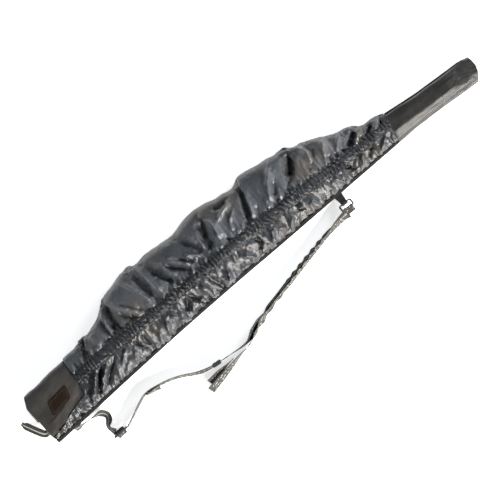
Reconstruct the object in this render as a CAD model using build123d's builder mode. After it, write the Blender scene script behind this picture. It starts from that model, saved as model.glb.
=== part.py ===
from build123d import *
from math import cos, pi, sin, tan
import os

# An elasticated slip cover for a long gun, lying on its left side.
# u runs along the cover from the toe of the butt to the muzzle, v runs across it from
# the mouth towards the crown, and z rises from the surface that it lies on (mm).

# ---- driving dimensions ----
tip_u = 1250.0  # muzzle end
butt_u = -4.0  # butt end
loop_reach_u = -47.87  # furthest point of the pull loop
crown_v = 202.0  # highest point of the crown
seam_z = 17.5  # height of the mouth and crown seams
wall = 2.0  # thickness of a panel with its lining
raised = 1.6  # how far bands and piping stand proud of the panels
mouth_gap = 12.0  # opening between the two lips of the mouth
piping_width = 4.0
webbing_width = 25.0
webbing_thick = 2.0
strap_low = seam_z - webbing_width / 2
swing_v = -8.0  # the strap swings about this line, at seam height
ring_drop = 14.0  # from the swing line to the far bar of the front ring
wire_radius = 2.0
ring_low = swing_v - ring_drop
clearance = 0.6

# Cross-sections: (u, mouth v, crown v, depth, squareness of the corners).
stations = [
    (butt_u, 5.6, 134, 44, 0.50),
    (45, 7, 137, 50, 0.55),
    (119, 9, 138, 50, 0.60),
    (161, 10, 139, 54, 0.70),
    (224, 12, 152, 62, 0.80),
    (276, 14, 184, 70, 0.80),
    (358, 15, crown_v, 76, 0.80),
    (400, 16, 191, 77, 0.80),
    (549, 16, crown_v, 77, 0.80),
    (661, 15, 184, 74, 0.80),
    (740, 15, 186, 70, 0.80),
    (806, 15, 178, 66, 0.80),
    (858, 15, 152, 58, 0.80),
    (930, 14, 118, 52, 0.80),
    (1020, 14, 85, 42, 0.75),
    (1113, 12, 72, 38, 0.75),
    (1200, 6, 65, 34, 0.75),
    (tip_u, 4, 56, 30, 0.70),
]
dome_steps = 8
sole_share = 0.76  # share of the height that lies flat on the surface
turn_in, turn_down = 0.94, 0.6  # the corner between the sole and the seams

# ---- the frame: origin under the middle of the cover's own box ----
origin_u = (loop_reach_u + tip_u) / 2
origin_v = (ring_low - wire_radius + crown_v) / 2


def place(u, v):
    return (u - origin_u, v - origin_v)


# ---- panel borders, each from butt to muzzle ----
pocket_seam = [(119, 260), (119, 75), (112, 49), (90, 45), (56, 36), (34, 27), (12, 22), (12, -60)]
band_top = [(119, 98), (180, 101), (270, 101), (336, 96), (672, 92), (806, 85), (896, 76), (1023, 70)]
band_low = [(119, 75), (336, 73), (560, 72), (672, 67), (806, 60), (896, 54), (1019, 54)]
hem_top = [(12, 14), (119, 16), (224, 19), (358, 22), (549, 23), (806, 22), (930, 21), (1014, 21)]
sleeve_seam = [(1034, 130), (1014, 21), (1006, -40)]
sleeve_slope = (sleeve_seam[0][0] - sleeve_seam[1][0]) / (sleeve_seam[0][1] - sleeve_seam[1][1])
mouth_start_u = 14.0
mouth_end_u = 1008.0


def sleeve_u(v):
    """Where the sleeve's seam crosses a height."""
    return sleeve_seam[1][0] + sleeve_slope * (v - sleeve_seam[1][1])


def section_points(low, top, depth, square, inset):
    """The outline of one cross-section, moved inwards by inset: a domed top on a flat sole."""
    middle = (low + top) / 2
    half_span = (top - low) / 2 - inset
    floor = max(inset, 0)
    rise = depth - inset - seam_z
    drop = seam_z - floor
    outline = [(middle + half_span, seam_z)]
    for step in range(1, dome_steps):
        turn = pi * step / dome_steps
        across = half_span * abs(cos(turn)) ** square * (1 if cos(turn) > 0 else -1)
        outline.append((middle + across, seam_z + rise * sin(turn) ** square))
    outline.append((middle - half_span, seam_z))
    for across, down in ((-turn_in, turn_down), (-sole_share, 1), (sole_share, 1), (turn_in, turn_down)):
        outline.append((middle + half_span * across, seam_z - drop * down))
    return [(v - origin_v, z) for v, z in outline]


def form(inset):
    """The cover's closed outer form, moved inwards by inset at every wall."""
    with BuildPart() as body:
        for u, low, top, depth, square in stations:
            if u == butt_u:
                u += inset
            if u == tip_u:
                u -= inset
            cut = Plane(origin=(u - origin_u, 0, 0), x_dir=(0, 1, 0), z_dir=(1, 0, 0))
            with BuildSketch(cut):
                with BuildLine():
                    Polyline(*section_points(low, top, depth, square, inset), close=True)
                make_face()
        loft(ruled=True)
    return body.part


def shell(outer_inset, inner_inset):
    """A closed skin between two insets, with the mouth slot cut along its lower edge."""
    with BuildPart() as skin:
        add(form(outer_inset))
        add(form(inner_inset), mode=Mode.SUBTRACT)
        with BuildSketch(Plane.XY.offset(seam_z - mouth_gap / 2)):
            with BuildLine():
                slot_low = [place(mouth_end_u, -50), place(mouth_start_u, -50)]
                slot_high = [place(mouth_start_u, 16), place(549, 26), place(mouth_end_u, 22)]
                Polyline(*slot_low, *slot_high, close=True)
            make_face()
        extrude(amount=mouth_gap, mode=Mode.SUBTRACT)
    return skin.part


def half(skin, side):
    """The right half of a skin lies above its seams, and the left half below."""
    with BuildPart() as side_skin:
        add(skin)
        keep = Keep.TOP if side == "right" else Keep.BOTTOM
        split(bisect_by=Plane.XY.offset(seam_z), keep=keep)
    return side_skin.part


def panel(skin, border):
    """The piece of a skin inside a closed border, seen from the side."""
    with BuildPart() as piece:
        add(skin)
        with BuildSketch(Plane.XY.offset(-50)):
            with BuildLine():
                Polyline(*[place(u, v) for u, v in border], close=True)
            make_face()
        extrude(amount=200, mode=Mode.INTERSECT)
    return piece.part


def save(piece, name):
    piece.label = name
    export_step(piece, f"parts/{name}.step")


def shifted(border, du, dv):
    return [(u + du, v + dv) for u, v in border]


os.makedirs("parts", exist_ok=True)

# ---- fabric panels, bands and piping, right and left ----
plain_skin = shell(0, wall)
proud_skin = shell(-raised, wall)
tape_skin = shell(0.5, 1.3)

end_wall_u = butt_u + wall + 2
tip_wall_u = tip_u - wall - 6
seam_inner = shifted(pocket_seam, piping_width, 0)
pocket_border = [(end_wall_u, -60), (end_wall_u, 260)] + pocket_seam
piping_border = pocket_seam + seam_inner[::-1]
upper_border = [(119 + piping_width, 260), (1034, 260), (sleeve_u(70), 70)] + band_top[-2:0:-1]
upper_border += [(119 + piping_width, 98.3)]
band_border = [(119 + piping_width, 98.3)] + band_top[1:-1] + [(sleeve_u(70), 70), (sleeve_u(54), 54)]
band_border += band_low[-2:0:-1] + [(119 + piping_width, 75)]
lower_border = [(119 + piping_width, 75)] + band_low[1:-1] + [(sleeve_u(54), 54)]
lower_border += [(sleeve_u(21), 21)] + hem_top[-2:0:-1] + [(12 + piping_width, 14.1)]
lower_border += [(u, v) for u, v in seam_inner[-2:1:-1]]
hem_border = [(12 + piping_width, -60), (12 + piping_width, 14.1)] + hem_top[1:-1]
hem_border += [(sleeve_u(21), 21), (sleeve_u(-40), -40)]
sleeve_piping = [(sleeve_u(v), v) for v in (-40, 130)]
sleeve_piping += [(sleeve_u(v) + piping_width, v) for v in (130, -40)]
sleeve_border = [(sleeve_u(v) + piping_width, v) for v in (-40, 130)]
sleeve_border += [(tip_wall_u, 130), (tip_wall_u, -40)]

tape_margin = 4.0  # the elastic is narrower than its casing
band_tape_border = [(130, 97 - tape_margin), (336, 95 - tape_margin), (672, 91 - tape_margin)]
band_tape_border += [(806, 84 - tape_margin), (896, 75 - tape_margin), (1012, 69 - tape_margin)]
band_tape_border += [(1012, 54 + tape_margin), (896, 55 + tape_margin), (806, 61 + tape_margin)]
band_tape_border += [(672, 68 + tape_margin), (560, 73 + tape_margin), (130, 75 + tape_margin)]
hem_tape_border = [(20, -60), (20, 12), (119, 14), (224, 17), (358, 20), (549, 21), (806, 20)]
hem_tape_border += [(1004, 19), (1000, -40)]

for side in ("right", "left"):
    plain = half(plain_skin, side)
    proud = half(proud_skin, side)
    tape = half(tape_skin, side)
    save(panel(plain, pocket_border), f"butt_pocket_{side}")
    save(panel(proud, piping_border), f"butt_seam_piping_{side}")
    save(panel(plain, upper_border), f"upper_cover_{side}")
    save(panel(plain, lower_border), f"lower_cover_{side}")
    save(panel(proud, sleeve_piping), f"sleeve_seam_piping_{side}")
    save(panel(plain, sleeve_border), f"muzzle_sleeve_{side}")

    waist_tape = panel(tape, band_tape_border)
    save(waist_tape, f"waist_elastic_{side}")
    with BuildPart() as casing:
        add(panel(proud, band_border))
        add(waist_tape, mode=Mode.SUBTRACT)
    save(casing.part, f"waist_casing_{side}")

    # The mouth's elastic stops short of the lip, which the slot cuts open.
    with BuildPart() as mouth_tape:
        add(panel(tape, hem_tape_border))
        with BuildSketch(Plane.XY.offset(seam_z - mouth_gap / 2 - 1)):
            Rectangle(3000, 1000)
        extrude(amount=mouth_gap + 2, mode=Mode.SUBTRACT)
    save(mouth_tape.part, f"mouth_elastic_{side}")
    with BuildPart() as binding:
        add(panel(proud, hem_border))
        add(mouth_tape.part, mode=Mode.SUBTRACT)
    save(binding.part, f"mouth_binding_{side}")

butt_end_border = [(butt_u - 20, -60), (butt_u - 20, 260), (end_wall_u, 260), (end_wall_u, -60)]
save(panel(plain_skin, butt_end_border), "butt_end_panel")
tip_border = [(tip_wall_u, -40), (tip_wall_u, 130), (tip_u + 20, 130), (tip_u + 20, -40)]
save(panel(plain_skin, tip_border), "muzzle_end_cap")

# ---- emblem patch on the butt pocket ----
patch_corners = [(28, 58), (38, 90), (94, 94), (83, 63)]
patch_thick = 1.5
patch_search_z = 30.0  # the pocket's flat side lies above this under the patch
with BuildPart() as emblem_patch:
    with BuildSketch(Plane.XY.offset(patch_search_z)) as patch_outline:
        with BuildLine():
            Polyline(*[place(u, v) for u, v in patch_corners], close=True)
        make_face()
        fillet(patch_outline.vertices(), radius=3)
    extrude(amount=30)
    add(form(-patch_thick), mode=Mode.INTERSECT)
    add(form(0), mode=Mode.SUBTRACT)
save(emblem_patch.part, "emblem_patch")


# ---- strap: webbing on edge, hinged to the cover along the swing line ----
def ribbon(points, name):
    """A length of webbing that stands on edge along a route of straight runs and arcs."""
    corners = [Vector(*place(u, v)) for u, v in points]
    runs = [b - a for a, b in zip(corners, corners[1:])]
    radii = []
    for before, after in zip(runs, runs[1:]):
        shorter = min(before.length, after.length)
        half_turn = before.get_angle(after) / 2
        radii.append(0.45 * shorter / tan(half_turn * pi / 180))
    with BuildPart() as webbing:
        with BuildSketch(Plane.XY.offset(strap_low)):
            with BuildLine() as route:
                if radii:
                    FilletPolyline(*corners, radius=radii)
                else:
                    Line(*corners)
            trace(line_width=webbing_thick)
        extrude(amount=webbing_width)
    length = sum(edge.length for edge in route.edges())
    share = webbing.part.volume / (length * webbing_width * webbing_thick)
    print(name, "length", round(length), "volume share", round(share, 4), "radii", [round(r) for r in radii])
    save(webbing.part, name)


root_route = [(40, 3.0), (62, 0.5), (104, swing_v)]
rear_route = [(104 + clearance, swing_v), (121, -11), (127, -28), (104, -44), (104, -61)]
main_route = [
    (132, -70), (157, -61), (190, -46), (213, -38), (246, -44), (291, -57), (340, -88),
    (460, -104), (515, -80), (560, -69), (627, -57), (694, -44), (762, -31), (812, -27),
]
return_route = [
    (449, -105.6), (462, -107.5), (517, -83.3), (561, -72.1), (628, -60.1), (695, -47.1), (763, -34.1),
    (812, -30.2),
]
tail_route = [(447, -109), (405, -117), (372, -122), (328, -130)]
rear_tail_route = [(214, -42), (246, -48.5)]
ribbon(root_route, "strap_root")
ribbon(rear_route, "strap_rear")
ribbon(main_route, "strap_main")
ribbon(return_route, "strap_return")
ribbon(tail_route, "strap_tail")
ribbon(rear_tail_route, "strap_rear_tail")

# ---- ladder-lock buckle at the rear: three bars along u between two uprights ----
buckle_width, buckle_height, buckle_thick = 34.0, 30.0, 5.0
buckle_low = 0.5
bar_height = 4.0
with BuildPart() as rear_buckle:
    face = Plane(origin=(*place(114, -66), buckle_low), x_dir=(1, 0, 0), z_dir=(0, -1, 0))
    with BuildSketch(face) as buckle_face:
        Rectangle(buckle_width, buckle_height, align=(Align.CENTER, Align.MIN))
        fillet(buckle_face.vertices(), radius=2.5)
        slot_height = (buckle_height - 3 * bar_height) / 2
        with Locations((0, bar_height), (0, 2 * bar_height + slot_height)):
            Rectangle(buckle_width - 8, slot_height, align=(Align.CENTER, Align.MIN), mode=Mode.SUBTRACT)
    extrude(amount=buckle_thick)
    chamfer(rear_buckle.faces().sort_by(Axis.Y)[0].outer_wire().edges(), length=0.8)
save(rear_buckle.part, "rear_buckle")

# ---- three-bar adjuster that slides along the straight run of the main strap ----
slide_start, slide_end = Vector(*place(340, -88)), Vector(*place(460, -104))
slide_way = (slide_end - slide_start).normalized()
slider_middle = slide_start + slide_way * 38
slider_length = 20.0
slider_half_thick = 4.2
bar_gap = webbing_thick / 2 + clearance
rail_height = 3.6
slider_low = strap_low - clearance - rail_height - 0.2
slider_high = strap_low + webbing_width + clearance + rail_height
with BuildPart() as adjuster:
    seat = Plane(origin=(slider_middle.X, slider_middle.Y, slider_low), x_dir=slide_way, z_dir=(0, 0, 1))
    with BuildSketch(seat) as rail_plan:
        Rectangle(slider_length, 2 * slider_half_thick)
        fillet(rail_plan.vertices(), radius=1.5)
    extrude(amount=slider_high - slider_low)
    middle_seat = seat.offset(rail_height)
    with BuildSketch(middle_seat):
        Rectangle(slider_length + 2, 2 * slider_half_thick + 2)
    extrude(amount=slider_high - slider_low - 2 * rail_height, mode=Mode.SUBTRACT)
    bar_depth = slider_half_thick - bar_gap
    with BuildSketch(middle_seat):
        with Locations((-slider_length / 2 + 2, -bar_gap - bar_depth / 2)):
            Rectangle(3, bar_depth)
        with Locations((slider_length / 2 - 2, -bar_gap - bar_depth / 2)):
            Rectangle(3, bar_depth)
        with Locations((0, bar_gap + bar_depth / 2)):
            Rectangle(3, bar_depth)
    extrude(amount=slider_high - slider_low - 2 * rail_height)
save(adjuster.part, "adjuster")

# ---- front anchor: a wire ring that turns in a sewn tab on the swing line ----
ring_u = 831.0
ring_half = 15.0
with BuildPart() as front_ring:
    corner = [(ring_u - ring_half, swing_v), (ring_u + ring_half, swing_v)]
    corner += [(ring_u + ring_half, ring_low), (ring_u - ring_half, ring_low)]
    with BuildLine(Plane.XY.offset(seam_z)) as ring_line:
        FilletPolyline(*[place(u, v) for u, v in corner], radius=3.0, close=True)
    hinge_side = ring_line.edges().sort_by(Axis.Y)[-1]
    with BuildSketch(Plane(origin=hinge_side @ 0.5, z_dir=hinge_side % 0.5)):
        Circle(wire_radius)
    sweep(path=ring_line.wires()[0])
save(front_ring.part, "front_ring")

tab_half = 11.0
tongue_low = seam_z - mouth_gap / 2
tongue_thick = 3.0
eye_radius = wire_radius + 0.3 + webbing_thick
with BuildPart() as front_anchor_tab:
    with BuildSketch(Plane(origin=(ring_u - tab_half - origin_u, 0, 0), x_dir=(0, 1, 0), z_dir=(1, 0, 0))):
        with Locations((swing_v - origin_v, seam_z)):
            Circle(eye_radius)
        with Locations((swing_v - origin_v, tongue_low)):
            Rectangle(21.5 - swing_v, tongue_thick, align=(Align.MIN, Align.MIN))
        with Locations((swing_v - origin_v, seam_z)):
            Circle(wire_radius + 0.3, mode=Mode.SUBTRACT)
    extrude(amount=2 * tab_half)
save(front_anchor_tab.part, "front_anchor_tab")

with BuildPart() as ring_loop:
    with BuildSketch(Plane(origin=(ring_u - tab_half - origin_u, 0, 0), x_dir=(0, 1, 0), z_dir=(1, 0, 0))):
        with Locations((ring_low - origin_v, seam_z)):
            Circle(eye_radius)
            Rectangle(14, 2 * webbing_thick, align=(Align.MAX, Align.CENTER))
        with Locations((ring_low - origin_v, seam_z)):
            Circle(wire_radius + 0.3, mode=Mode.SUBTRACT)
    extrude(amount=2 * tab_half)
save(ring_loop.part, "ring_loop")


def block(u_range, v_range, z_range, name):
    """A small rectangular sewn tab between three pairs of limits."""
    with BuildPart() as piece:
        with BuildSketch(Plane.XY.offset(z_range[0])):
            with Locations(place(u_range[0], v_range[0])):
                Rectangle(u_range[1] - u_range[0], v_range[1] - v_range[0], align=(Align.MIN, Align.MIN))
        extrude(amount=z_range[1] - z_range[0])
    save(piece.part, name)


lips = (seam_z - mouth_gap / 2, seam_z + mouth_gap / 2)
block((mouth_start_u, mouth_start_u + 14), (7.0, 15.8), lips, "mouth_tab_rear")
block((mouth_end_u - 14, mouth_end_u), (15.0, 21.5), lips, "mouth_tab_front")
block((44, 60), (4.2, 14.0), (tongue_low, tongue_low + tongue_thick), "strap_root_tab")

# ---- pull loop: doubled webbing on a sewn root at the butt end ----
loop_width = 16.0
hinge_u = -12.0
loop_root_v = 38.0
loop_half_height = 5.5
neck_radius = 1.2
loop_start_u = hinge_u - 6.0
loop_bend = 10.0
loop_plan = [(loop_start_u, loop_root_v), (-31, loop_root_v), (-40, 88)]
loop_hole_plan = [(loop_start_u - 4, loop_root_v), (-31, loop_root_v), (-39.6, 86)]
with BuildPart() as pull_loop:
    with BuildSketch(Plane.XY.offset(seam_z - loop_half_height)):
        with BuildLine():
            FilletPolyline(*[place(u, v) for u, v in loop_plan], radius=loop_bend)
        trace(line_width=loop_width)
    extrude(amount=2 * loop_half_height)
    with BuildSketch(Plane.XY.offset(seam_z - loop_half_height + webbing_thick)):
        with BuildLine():
            FilletPolyline(*[place(u, v) for u, v in loop_hole_plan], radius=loop_bend)
        trace(line_width=loop_width + 12)
    extrude(amount=2 * (loop_half_height - webbing_thick), mode=Mode.SUBTRACT)
    neck_end = Plane(origin=(0, loop_root_v - 7 - origin_v, 0), x_dir=(1, 0, 0), z_dir=(0, 1, 0))
    with BuildSketch(neck_end):
        with Locations((hinge_u - origin_u, -seam_z)):
            Circle(neck_radius)
            Rectangle(8, 2 * neck_radius, align=(Align.MAX, Align.CENTER))
    extrude(amount=14)
save(pull_loop.part, "pull_loop")
root_z = (seam_z - 3.5, seam_z + 3.5)
block((hinge_u + 1.6, butt_u), (loop_root_v - 8, loop_root_v + 8), root_z, "pull_loop_root")
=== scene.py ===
from math import cos, pi, radians, sin

import bpy
import numpy as np
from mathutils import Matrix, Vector
from mathutils.bvhtree import BVHTree


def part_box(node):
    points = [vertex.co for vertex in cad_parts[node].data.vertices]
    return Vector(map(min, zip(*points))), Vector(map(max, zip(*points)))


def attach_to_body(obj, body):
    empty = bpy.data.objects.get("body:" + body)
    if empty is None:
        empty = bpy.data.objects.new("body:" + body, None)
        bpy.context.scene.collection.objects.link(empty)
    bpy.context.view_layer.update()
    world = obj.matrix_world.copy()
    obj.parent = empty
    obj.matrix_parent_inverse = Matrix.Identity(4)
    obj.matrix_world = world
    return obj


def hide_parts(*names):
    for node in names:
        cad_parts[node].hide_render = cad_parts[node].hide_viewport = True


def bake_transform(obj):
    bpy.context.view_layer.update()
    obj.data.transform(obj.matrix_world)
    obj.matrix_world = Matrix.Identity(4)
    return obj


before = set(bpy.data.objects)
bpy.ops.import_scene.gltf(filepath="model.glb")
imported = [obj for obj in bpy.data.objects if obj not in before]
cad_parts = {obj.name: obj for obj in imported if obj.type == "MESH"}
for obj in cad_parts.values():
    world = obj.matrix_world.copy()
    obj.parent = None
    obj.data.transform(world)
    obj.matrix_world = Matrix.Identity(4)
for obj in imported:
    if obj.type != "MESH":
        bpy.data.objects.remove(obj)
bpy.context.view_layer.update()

MM = 0.001

# Places along the cover (u, from the butt to the muzzle) and across it (v, from the mouth
# to the crown) are in mm, tied to the frame by two of its corners.
BUTT_U = -4.0
RING_LOW_V = -24.0
BAR_HALF = 2.0  # from the front ring's edge to the middle of its bars
ORIGIN_U = BUTT_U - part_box("butt_end_panel")[0][0] / MM
ORIGIN_V = RING_LOW_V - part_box("front_ring")[0][1] / MM
TIP_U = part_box("muzzle_end_cap")[1][0] / MM + ORIGIN_U
SEAM_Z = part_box("upper_cover_right")[0][2] / MM
SWING_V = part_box("front_ring")[1][1] / MM + ORIGIN_V - BAR_HALF
MOUTH_GAP = 12.0
SEAM_U = 119.0  # where the butt pocket ends and the gathered cloth begins
SLEEVE_U = 1014.0  # where the gathered cloth ends and the muzzle sleeve begins


def spot(u, v, z):
    """A place on the cover as a point of the frame, in metres."""
    return ((u - ORIGIN_U) * MM, (v - ORIGIN_V) * MM, z * MM)


PEAK_SLOPE = 0.3  # how much of its slope a curve keeps at a peak or a dip


def curve(*points):
    """A smooth curve through given (u, value) points, as a function of u."""
    xs = np.array([p[0] for p in points], float)
    ys = np.array([p[1] for p in points], float)
    steps = np.diff(xs)
    slopes = np.diff(ys) / steps
    tangents = np.empty_like(ys)
    tangents[0], tangents[-1] = slopes[0], slopes[-1]
    tangents[1:-1] = (slopes[:-1] + slopes[1:]) / 2
    tangents[1:-1][slopes[:-1] * slopes[1:] < 0] *= PEAK_SLOPE

    def at(u):
        u = np.clip(u, xs[0], xs[-1])
        i = np.clip(np.searchsorted(xs, u, side="right") - 1, 0, len(steps) - 1)
        t = (u - xs[i]) / steps[i]
        a = ys[i] * (1 + 2 * t) * (1 - t) ** 2 + tangents[i] * steps[i] * t * (1 - t) ** 2
        return a + ys[i + 1] * t * t * (3 - 2 * t) + tangents[i + 1] * steps[i] * t * t * (t - 1)

    return at


def hump(x, middle=0, half=1, power=2):
    """1 at the middle, fading to both sides past a half width. A high power gives a flat top."""
    return np.exp(-(((x - middle) / half) ** power))


def unit(vectors):
    return vectors / np.maximum(np.linalg.norm(vectors, axis=-1, keepdims=True), 1e-9)


def keep_above(least, *grids):
    """Raises the points of grids that lie lower than a height."""
    for grid in grids:
        grid[..., 2] = np.maximum(grid[..., 2], least)


# ---- outlines of the cover ----
mouth_line = curve((-4, 5.6), (45, 7), (119, 9), (224, 12), (358, 15), (549, 16), (661, 15), (858, 15),
                   (1020, 14), (1113, 11), (1200, 4), (1250, 1))
crown_line = curve((-4, 134), (60, 137), (119, 138), (146, 140), (157, 138), (179, 146), (190, 149),
                   (196, 144), (224, 151), (246, 158), (262, 170), (276, 182), (300, 188), (325, 192),
                   (347, 200), (365, 202), (374, 197), (388, 188), (399, 193), (414, 195), (448, 192),
                   (493, 187), (520, 194), (549, 199), (582, 196), (600, 192), (616, 186), (634, 185),
                   (661, 178), (683, 191), (712, 188), (739, 182), (762, 179), (784, 173), (806, 175),
                   (820, 159), (833, 156), (858, 151), (874, 142), (896, 130), (918, 119), (941, 118),
                   (954, 111), (963, 100), (979, 91), (992, 93), (1012, 92), (1026, 84), (1037, 82),
                   (1075, 77), (1113, 72), (1187, 66), (1228, 63), (1250, 56))
depth_line = curve((-4, 44), (45, 49), (119, 50), (161, 54), (224, 62), (276, 69), (358, 74), (549, 75),
                   (661, 73), (740, 69), (806, 64), (858, 58), (930, 51), (1020, 42), (1113, 38),
                   (1200, 34), (1250, 30))
square_line = curve((-4, 0.5), (45, 0.55), (119, 0.6), (161, 0.72), (224, 0.8), (980, 0.78), (1040, 0.95),
                    (1250, 0.88))
band_top = curve((119, 98), (180, 101), (270, 101), (336, 96), (672, 92), (806, 85), (896, 76), (1023, 70))
band_low = curve((119, 75), (180, 74), (336, 73), (560, 72), (672, 67), (806, 60), (896, 54), (1019, 54))
hem_top = curve((-4, 12.5), (119, 16), (224, 19), (358, 22), (549, 23), (806, 22), (930, 21), (1014, 21))
SOLE_POWER = 7.0  # how square the side that the cover lies on is
SOLE_LIFT = 0.6
SKIN_SAMPLES = 96


def outline(u, turn):
    """The skin at u, in mm. turn runs 0 at the mouth, 1 at the crown over the right side, 2 back at the
    mouth under the left side."""
    low, top, square = mouth_line(u), crown_line(u), square_line(u)
    across = -np.cos(pi * turn)
    span = np.sign(across) * np.abs(across) ** square
    v = (low + top) / 2 + (top - low) / 2 * span
    dome = SEAM_Z + (depth_line(u) - SEAM_Z) * np.clip(np.sin(pi * turn), 0, 1) ** square
    sole = SEAM_Z * (1 - np.clip(1 - np.abs(span) ** SOLE_POWER, 0, 1) ** (1 / SOLE_POWER))
    return v, np.where(turn <= 1, dome, sole + SOLE_LIFT)


def turn_at(u, v, side="right"):
    """The turn at which the skin has this v, on the right or the left side."""
    low, top = mouth_line(u), crown_line(u)
    span = np.clip((v - (low + top) / 2) / ((top - low) / 2), -1, 1)
    across = np.sign(span) * np.abs(span) ** (1 / square_line(u))
    turn = np.arccos(-across) / pi
    return turn if side == "right" else 2 - turn


def skin(us, turn_from, turn_to, steps, inset=0.0):
    """A grid of points on the skin: rows along u, columns evenly spaced along the skin's own length
    between two turns, which are given per row. Returns points, outward normals and column lengths."""
    turns = turn_from[:, None] + (turn_to - turn_from)[:, None] * np.linspace(0, 1, SKIN_SAMPLES)
    v, z = outline(us[:, None], turns)
    run = np.concatenate([np.zeros((len(us), 1)), np.hypot(np.diff(v, axis=1), np.diff(z, axis=1))], 1)
    run = np.cumsum(run, axis=1)
    grid = np.empty((len(us), steps, 3))
    for i in range(len(us)):
        at = np.linspace(0, 1, steps) * run[i, -1]
        grid[i, :, 0] = us[i]
        grid[i, :, 1] = np.interp(at, run[i], v[i])
        grid[i, :, 2] = np.interp(at, run[i], z[i])
    normal = unit(np.cross(np.gradient(grid, axis=0), np.gradient(grid, axis=1)))
    normal[normal[:, :, 2] == 0, 2] = 1
    return grid - normal * inset, normal, run[:, -1]


# ---- irregularity, the same on every run ----
LATTICE = 97  # random values each way, before the noise repeats


def noise(x, y, seed):
    """Smooth noise from -1 to 1 with a cell of 1 by 1."""
    lattice = np.random.default_rng(seed).uniform(-1, 1, (LATTICE, LATTICE))
    x, y = np.broadcast_arrays(np.asarray(x, float), np.asarray(y, float))
    left, low = np.floor(x).astype(int), np.floor(y).astype(int)
    fx, fy = x - left, y - low
    fx, fy = fx * fx * (3 - 2 * fx), fy * fy * (3 - 2 * fy)
    left, right = left % LATTICE, (left + 1) % LATTICE
    low, high = low % LATTICE, (low + 1) % LATTICE
    a = lattice[left, low] * (1 - fx) + lattice[right, low] * fx
    b = lattice[left, high] * (1 - fx) + lattice[right, high] * fx
    return a * (1 - fy) + b * fy


def pleats(u, w, pitch, seed, slant):
    """Irregular rounded pleats across u, from -1 to 1: w shifts them a little from line to line."""
    phase = u / pitch + 0.9 * noise(u / 31.0, w / 90.0, seed) + slant * w
    phase = phase + 0.12 * noise(u / 6.0, w / 7.0, seed + 1)
    height = 0.65 + 0.35 * noise(u / (pitch * 1.3), w / 60.0, seed + 2)
    wave = np.sin(2 * pi * phase)
    return height * (1.25 * np.abs(np.sin(pi * phase)) ** 0.8 - 0.6 + 0.25 * wave)


# ---- meshes ----
def mesh_piece(name, verts, faces, material):
    mesh = bpy.data.meshes.new(name)
    mesh.from_pydata([tuple(v) for v in verts], [], faces)
    mesh.validate()
    mesh.polygons.foreach_set("use_smooth", [True] * len(mesh.polygons))
    piece = bpy.data.objects.new(name, mesh)
    bpy.context.collection.objects.link(piece)
    piece.data.materials.append(material)
    return piece


def grid_faces(rows, columns, closed=False):
    faces = []
    for i in range(rows - 1):
        for j in range(columns if closed else columns - 1):
            k = (j + 1) % columns
            faces.append((i * columns + j, (i + 1) * columns + j, (i + 1) * columns + k, i * columns + k))
    return faces


def grid_piece(name, grid, material, closed=False):
    """A sheet from a grid of points in (u, v, z) mm. closed joins the last column to the first."""
    points = grid.reshape(-1, 3).copy()
    points -= (ORIGIN_U, ORIGIN_V, 0)
    return mesh_piece(name, points * MM, grid_faces(grid.shape[0], grid.shape[1], closed), material)


def add_painted_shade_depth(piece, lift):
    """Adds to how far each vertex counts as raised (or, below 0, pressed in), in mm, for the nylon
    materials, which paint shade from it: darker in the hollows, lighter on the ridges.
    """
    layer = piece.data.attributes.get("fold") or piece.data.attributes.new("fold", "FLOAT", "POINT")
    values = np.zeros(len(piece.data.vertices), np.float32)
    layer.data.foreach_get("value", values)
    layer.data.foreach_set("value", values + np.asarray(lift, np.float32).reshape(-1))


def apply_modifiers(piece):
    """Replaces a piece's mesh by the result of its modifiers, and drops them and its shape keys."""
    graph = bpy.context.evaluated_depsgraph_get()
    result = bpy.data.meshes.new_from_object(piece.evaluated_get(graph))
    piece.modifiers.clear()
    if piece.data.shape_keys:
        piece.shape_key_clear()
    piece.data = result


def smooth_piece(piece):
    modifier = piece.modifiers.new("smooth", "SUBSURF")
    modifier.levels = modifier.render_levels = 1
    apply_modifiers(piece)


def surface(piece):
    """A piece's points and normals in metres, and its points' u and v in mm."""
    points, normals = (np.empty(len(piece.data.vertices) * 3) for _ in range(2))
    piece.data.vertices.foreach_get("co", points)
    piece.data.vertices.foreach_get("normal", normals)
    points, normals = points.reshape(-1, 3), normals.reshape(-1, 3)
    return points, normals, points[:, 0] / MM + ORIGIN_U, points[:, 1] / MM + ORIGIN_V


def set_points(piece, points):
    piece.data.vertices.foreach_set("co", points.reshape(-1))
    piece.data.update()


def attach(body, piece, slot_name, *nodes):
    """Fixes a piece to a body and hides the CAD nodes whose place it takes. slot_name is not used."""
    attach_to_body(piece, body)
    if nodes:
        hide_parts(*nodes)


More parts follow.
